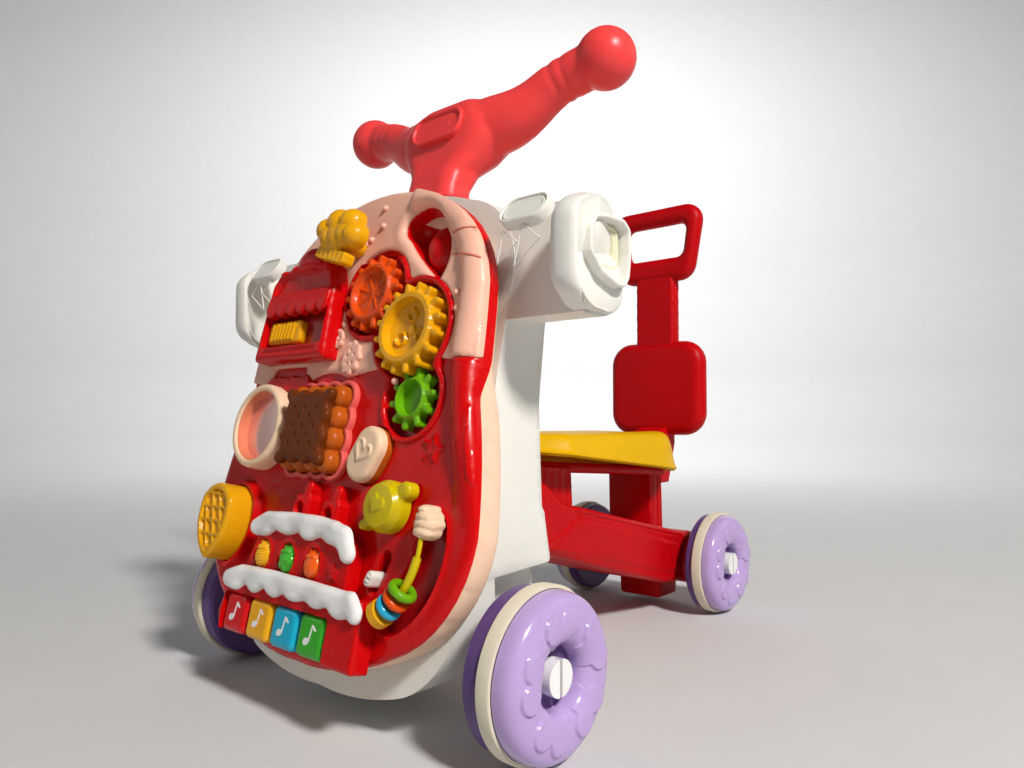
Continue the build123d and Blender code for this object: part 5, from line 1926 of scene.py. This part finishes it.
def make_backrest():
    """The padded-looking rest, its pole and the D-shaped push handle."""
    y = AXLE_Y + 458
    where = place((0, y, 0), (-1, 0, 0), (0, 0, 1), (0, 1, 0))
    pad = block((0, 259), 130, 117, 28)

    def pad_top(p, depth):
        return 12.5 + 1.0 * np.clip(depth / 55, 0, 1) - drop(depth, 11.5)

    solid = relief(pad, (-70, 196), (70, 322), pad_top, lambda p, d: -pad_top(p, d), 3.2, edge=11.5)
    make("backrest_pad", solid, FRAME_RED, body="rear", replaces=["backrest"], where=where)
    outer = polygon([(-50, 394), (50, 394), (67, 489), (-67, 489)])
    outer = rounded(outer, 21, (-74, 388), (74, 495))
    hole = polygon([(-38, 424), (38, 424), (44, 466), (-44, 466)])
    hole = rounded(hole, 9, (-50, 418), (50, 472))
    shape = cut(outer, hole)

    def handle_top(p, depth):
        return 11.0 - drop(depth, 10.0)

    solid = relief(
        shape, (-74, 388), (74, 495), handle_top, lambda p, d: -handle_top(p, d), 2.2, edge=10.0
    )
    make("push_handle", solid, FRAME_RED, body="rear", where=where)
    pole = block((0, 358), 54, 90, 6)

    def pole_top(p, depth):
        return 9.6 - drop(np.minimum(27 - np.abs(p[:, 0]), 30), 5.0)

    solid = relief(pole, (-32, 308), (32, 408), pole_top, lambda p, d: -pole_top(p, d), 3.0,
                   lines=[(block((0, 358), 54, 300, 1), -v) for v in edge_levels(5.0)])
    make("backrest_pole", solid, FRAME_RED, body="rear", where=where)
    stem = polygon(
        [(424, 205), (468, 215), (468, 190), (452, 142), (396, 142), (396, 149.5), (424, 149.5)]
    )
    both_sides(
        "backrest_stem", stem, 18.7, lambda p, d: np.zeros(len(p)), FRAME_RED, "rear", 3.0, 3.0
    )


# ---- wheels ---------------------------------------------------------------------------------
def petal_shapes():
    """Five two-lobed petals of icing round the middle."""
    petals = []
    for middle in range(26, 386, 72):
        spots = []
        for turn, r in ((-14, 35.5), (14, 35.5), (-17, 14), (17, 14)):
            angle = math.radians(middle + turn)
            spots.append((r * math.cos(angle), r * math.sin(angle)))
        neck = polygon([spots[2], spots[3], spots[1], spots[0]])
        petals.append(join(disc(spots[0], 9.0), disc(spots[1], 9.0), grow(neck, 2.0), soft=1.5))
    return petals


def cover_solid(deep, radius, hole):
    """The doughnut cover with petals of icing on it."""
    steps, rows = 300, 64
    vertices, faces = [], []
    for i in range(steps):
        angle = TAU * i / steps
        for j in range(rows):
            sweep = math.pi * j / (rows - 1)
            middle_r, half_r = (radius + hole) / 2, (radius - hole) / 2
            side = math.cos(sweep)
            r = middle_r + half_r * math.copysign(abs(side) ** 0.8, side)
            vertices.append(
                (
                    r * math.cos(angle), r * math.sin(angle),
                    deep * (0.08 + 0.92 * math.sin(sweep) ** 0.62)
                )
            )
    vertices = np.array(vertices)
    sweeps = np.tile(np.linspace(0, math.pi, rows), steps)
    icing = np.zeros(len(vertices))
    for petal in petal_shapes():
        icing = np.maximum(icing, bump(petal(vertices[:, :2]), 1.0))
    vertices[:, 2] += 1.9 * icing * np.sqrt(np.maximum(np.sin(sweeps), 0))
    for i in range(steps):
        k = (i + 1) % steps
        for j in range(rows - 1):
            faces.append((i * rows + j, i * rows + j + 1, k * rows + j + 1, k * rows + j))
        faces.append((i * rows + rows - 1, i * rows, k * rows, k * rows + rows - 1))
    return vertices, [tuple(f)[::-1] for f in faces]


def make_wheels():
    """Four wheels: dark inner half, cream tread, lilac cover and split white hub."""
    ends = (
        ("front", FRONT_AXLE, 151.5, 172.0, 195.0, 179.5),
        ("rear", REAR_AXLE, 75.0, 91.0, 112.0, 101.5),
    )
    for end, axle, inner, tread, outer, hub in ends:
        for side, name in ((1, "right"), (-1, "left")):
            where = ((0, axle.y, axle.z), np.array([[0, side, 0], [0, 0, 1], [side, 0, 0]], float))
            body = f"wheel_{end}_{name}"
            half = 5.5
            disc_profile = [
                (4.3, inner - 1.2), (9, inner - 1.2), (9.5, inner + 1), (18, inner + 2),
                (24, inner + 4.5), (34, inner + 4), (44, inner + 0.6), (50, inner + 0.4),
                (53, inner + 3), (53.4, inner + 7), (53.4, tread + half - 1.2),
                (40, tread + half - 1.2), (16, tread + 4), (9, tread + 4.5), (9, hub), (4.3, hub)
            ]
            make(
                f"{body}_core", lathe(disc_profile, 96), PURPLE, body=body,
                replaces=[f"wheel_{end}_{name}"], where=where
            )
            tyre_profile = [
                (53.5, tread - half), (55.0, tread - half + 0.2), (56, tread - half + 1.3),
                (56, tread + half - 1.6), (55.4, tread + half - 0.4), (53.5, tread + half)
            ]
            make(
                f"{body}_tread", lathe(tyre_profile, 128), TREAD, body=body,
                replaces=[f"tyre_{end}_{name}"], where=where
            )
            cover = cover_solid(outer - tread - half - 0.4, 53.2, 20.0)
            cover = cover[0] + np.array([0, 0, tread + half - 0.9]), cover[1]
            make(
                f"{body}_cover", cover, LILAC, body=body, replaces=[f"wheel_cover_{end}_{name}"],
                where=where
            )
            beads = lathe(
                [
                    (9.5, tread + 3), (19.8, tread + 4), (20.4, tread + 8), (17, tread + 7.5),
                    (9.5, tread + 7)
                ],
                64
            )
            make(f"{body}_dish", beads, PURPLE, body=body, where=where)


make_tray()
make_body()
make_arms()
make_handlebar()
make_chassis()
make_seat()
make_backrest()
make_wheels()
SKIN = {
    "battery_door": WHITE, "body_screws": STEEL, "front_axle": ICING, "rear_axle": ICING,
    "steering_pin": STEEL,
}
for node, material in SKIN.items():
    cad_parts[node].data.materials.clear()
    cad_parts[node].data.materials.append(material)


# ---- camera, floor and lights ----------------------------------------------------------
def aim(thing, direction, roll=0.0):
    """Point a camera or light along a direction."""
    thing.rotation_mode = "QUATERNION"
    thing.rotation_quaternion = Vector(direction).to_track_quat("-Z", "Y")
    if roll:
        thing.rotation_quaternion = (
            thing.rotation_quaternion @ Matrix.Rotation(roll, 3, "Z").to_quaternion()
        )


def make_camera():
    yaw, pitch = math.radians(40.6), math.radians(2.9)
    lens = bpy.data.cameras.new("camera")
    lens.sensor_width = 36.0
    lens.lens = 26.05
    camera = bpy.data.objects.new("camera", lens)
    camera.location = Vector((472.3, AXLE_Y - 378.9, 216.5)) * MM
    aim(
        camera,
        (-math.sin(yaw) * math.cos(pitch), math.cos(yaw) * math.cos(pitch), math.sin(pitch)),
        math.radians(0.2)
    )
    bpy.context.scene.collection.objects.link(camera)
    bpy.context.scene.camera = camera


def area_light(name, spot, target, size, power, colour=(1, 1, 1)):
    lamp = bpy.data.lights.new(name, "AREA")
    lamp.shape = "DISK"
    lamp.size = size
    lamp.energy = power
    lamp.color = colour
    light = bpy.data.objects.new(name, lamp)
    light.location = spot
    aim(light, Vector(target) - Vector(spot))
    bpy.context.scene.collection.objects.link(light)


def make_stage():
    """A pale floor that curves up into a backdrop on every side."""
    profile = [
        (0.01, 0), (1400, 0), (3200, 0), (4200, 120), (5000, 600), (5300, 1500), (5400, 4200)
    ]
    rings = lathe(profile, 96, closed=False)
    mesh = bpy.data.meshes.new("studio_floor")
    mesh.from_pydata(
        ((rings[0] - np.array([0, 0, 0.3])) * MM).tolist(), [],
        [list(map(int, f)) for f in rings[1]]
    )
    for face in mesh.polygons:
        face.use_smooth = True
    floor = bpy.data.objects.new("studio_floor", mesh)
    bpy.context.scene.collection.objects.link(floor)
    mesh.materials.append(floor_material())


def make_light():
    world = bpy.data.worlds.new("studio")
    world.use_nodes = True
    world.node_tree.nodes["Background"].inputs["Color"].default_value = (1, 1, 1, 1)
    world.node_tree.nodes["Background"].inputs["Strength"].default_value = 0.055
    bpy.context.scene.world = world
    bpy.context.scene.view_settings.view_transform = "Standard"
    area_light("key", (2.1, -0.75, 2.0), (0, -0.1, 0.25), 0.4, 84.0, (1, 0.97, 0.93))
    area_light("fill", (-1.6, -1.9, 1.3), (0, -0.1, 0.25), 1.8, 3.5, (0.97, 0.98, 1))
    area_light("rim", (1.6, 1.9, 1.6), (0, 0, 0.3), 1.2, 3.0)
    area_light("backdrop", (-1.5, 1.9, 3.1), (-3.2, 4.0, 0.9), 2.0, 150.0)


make_camera()
make_stage()
make_light()
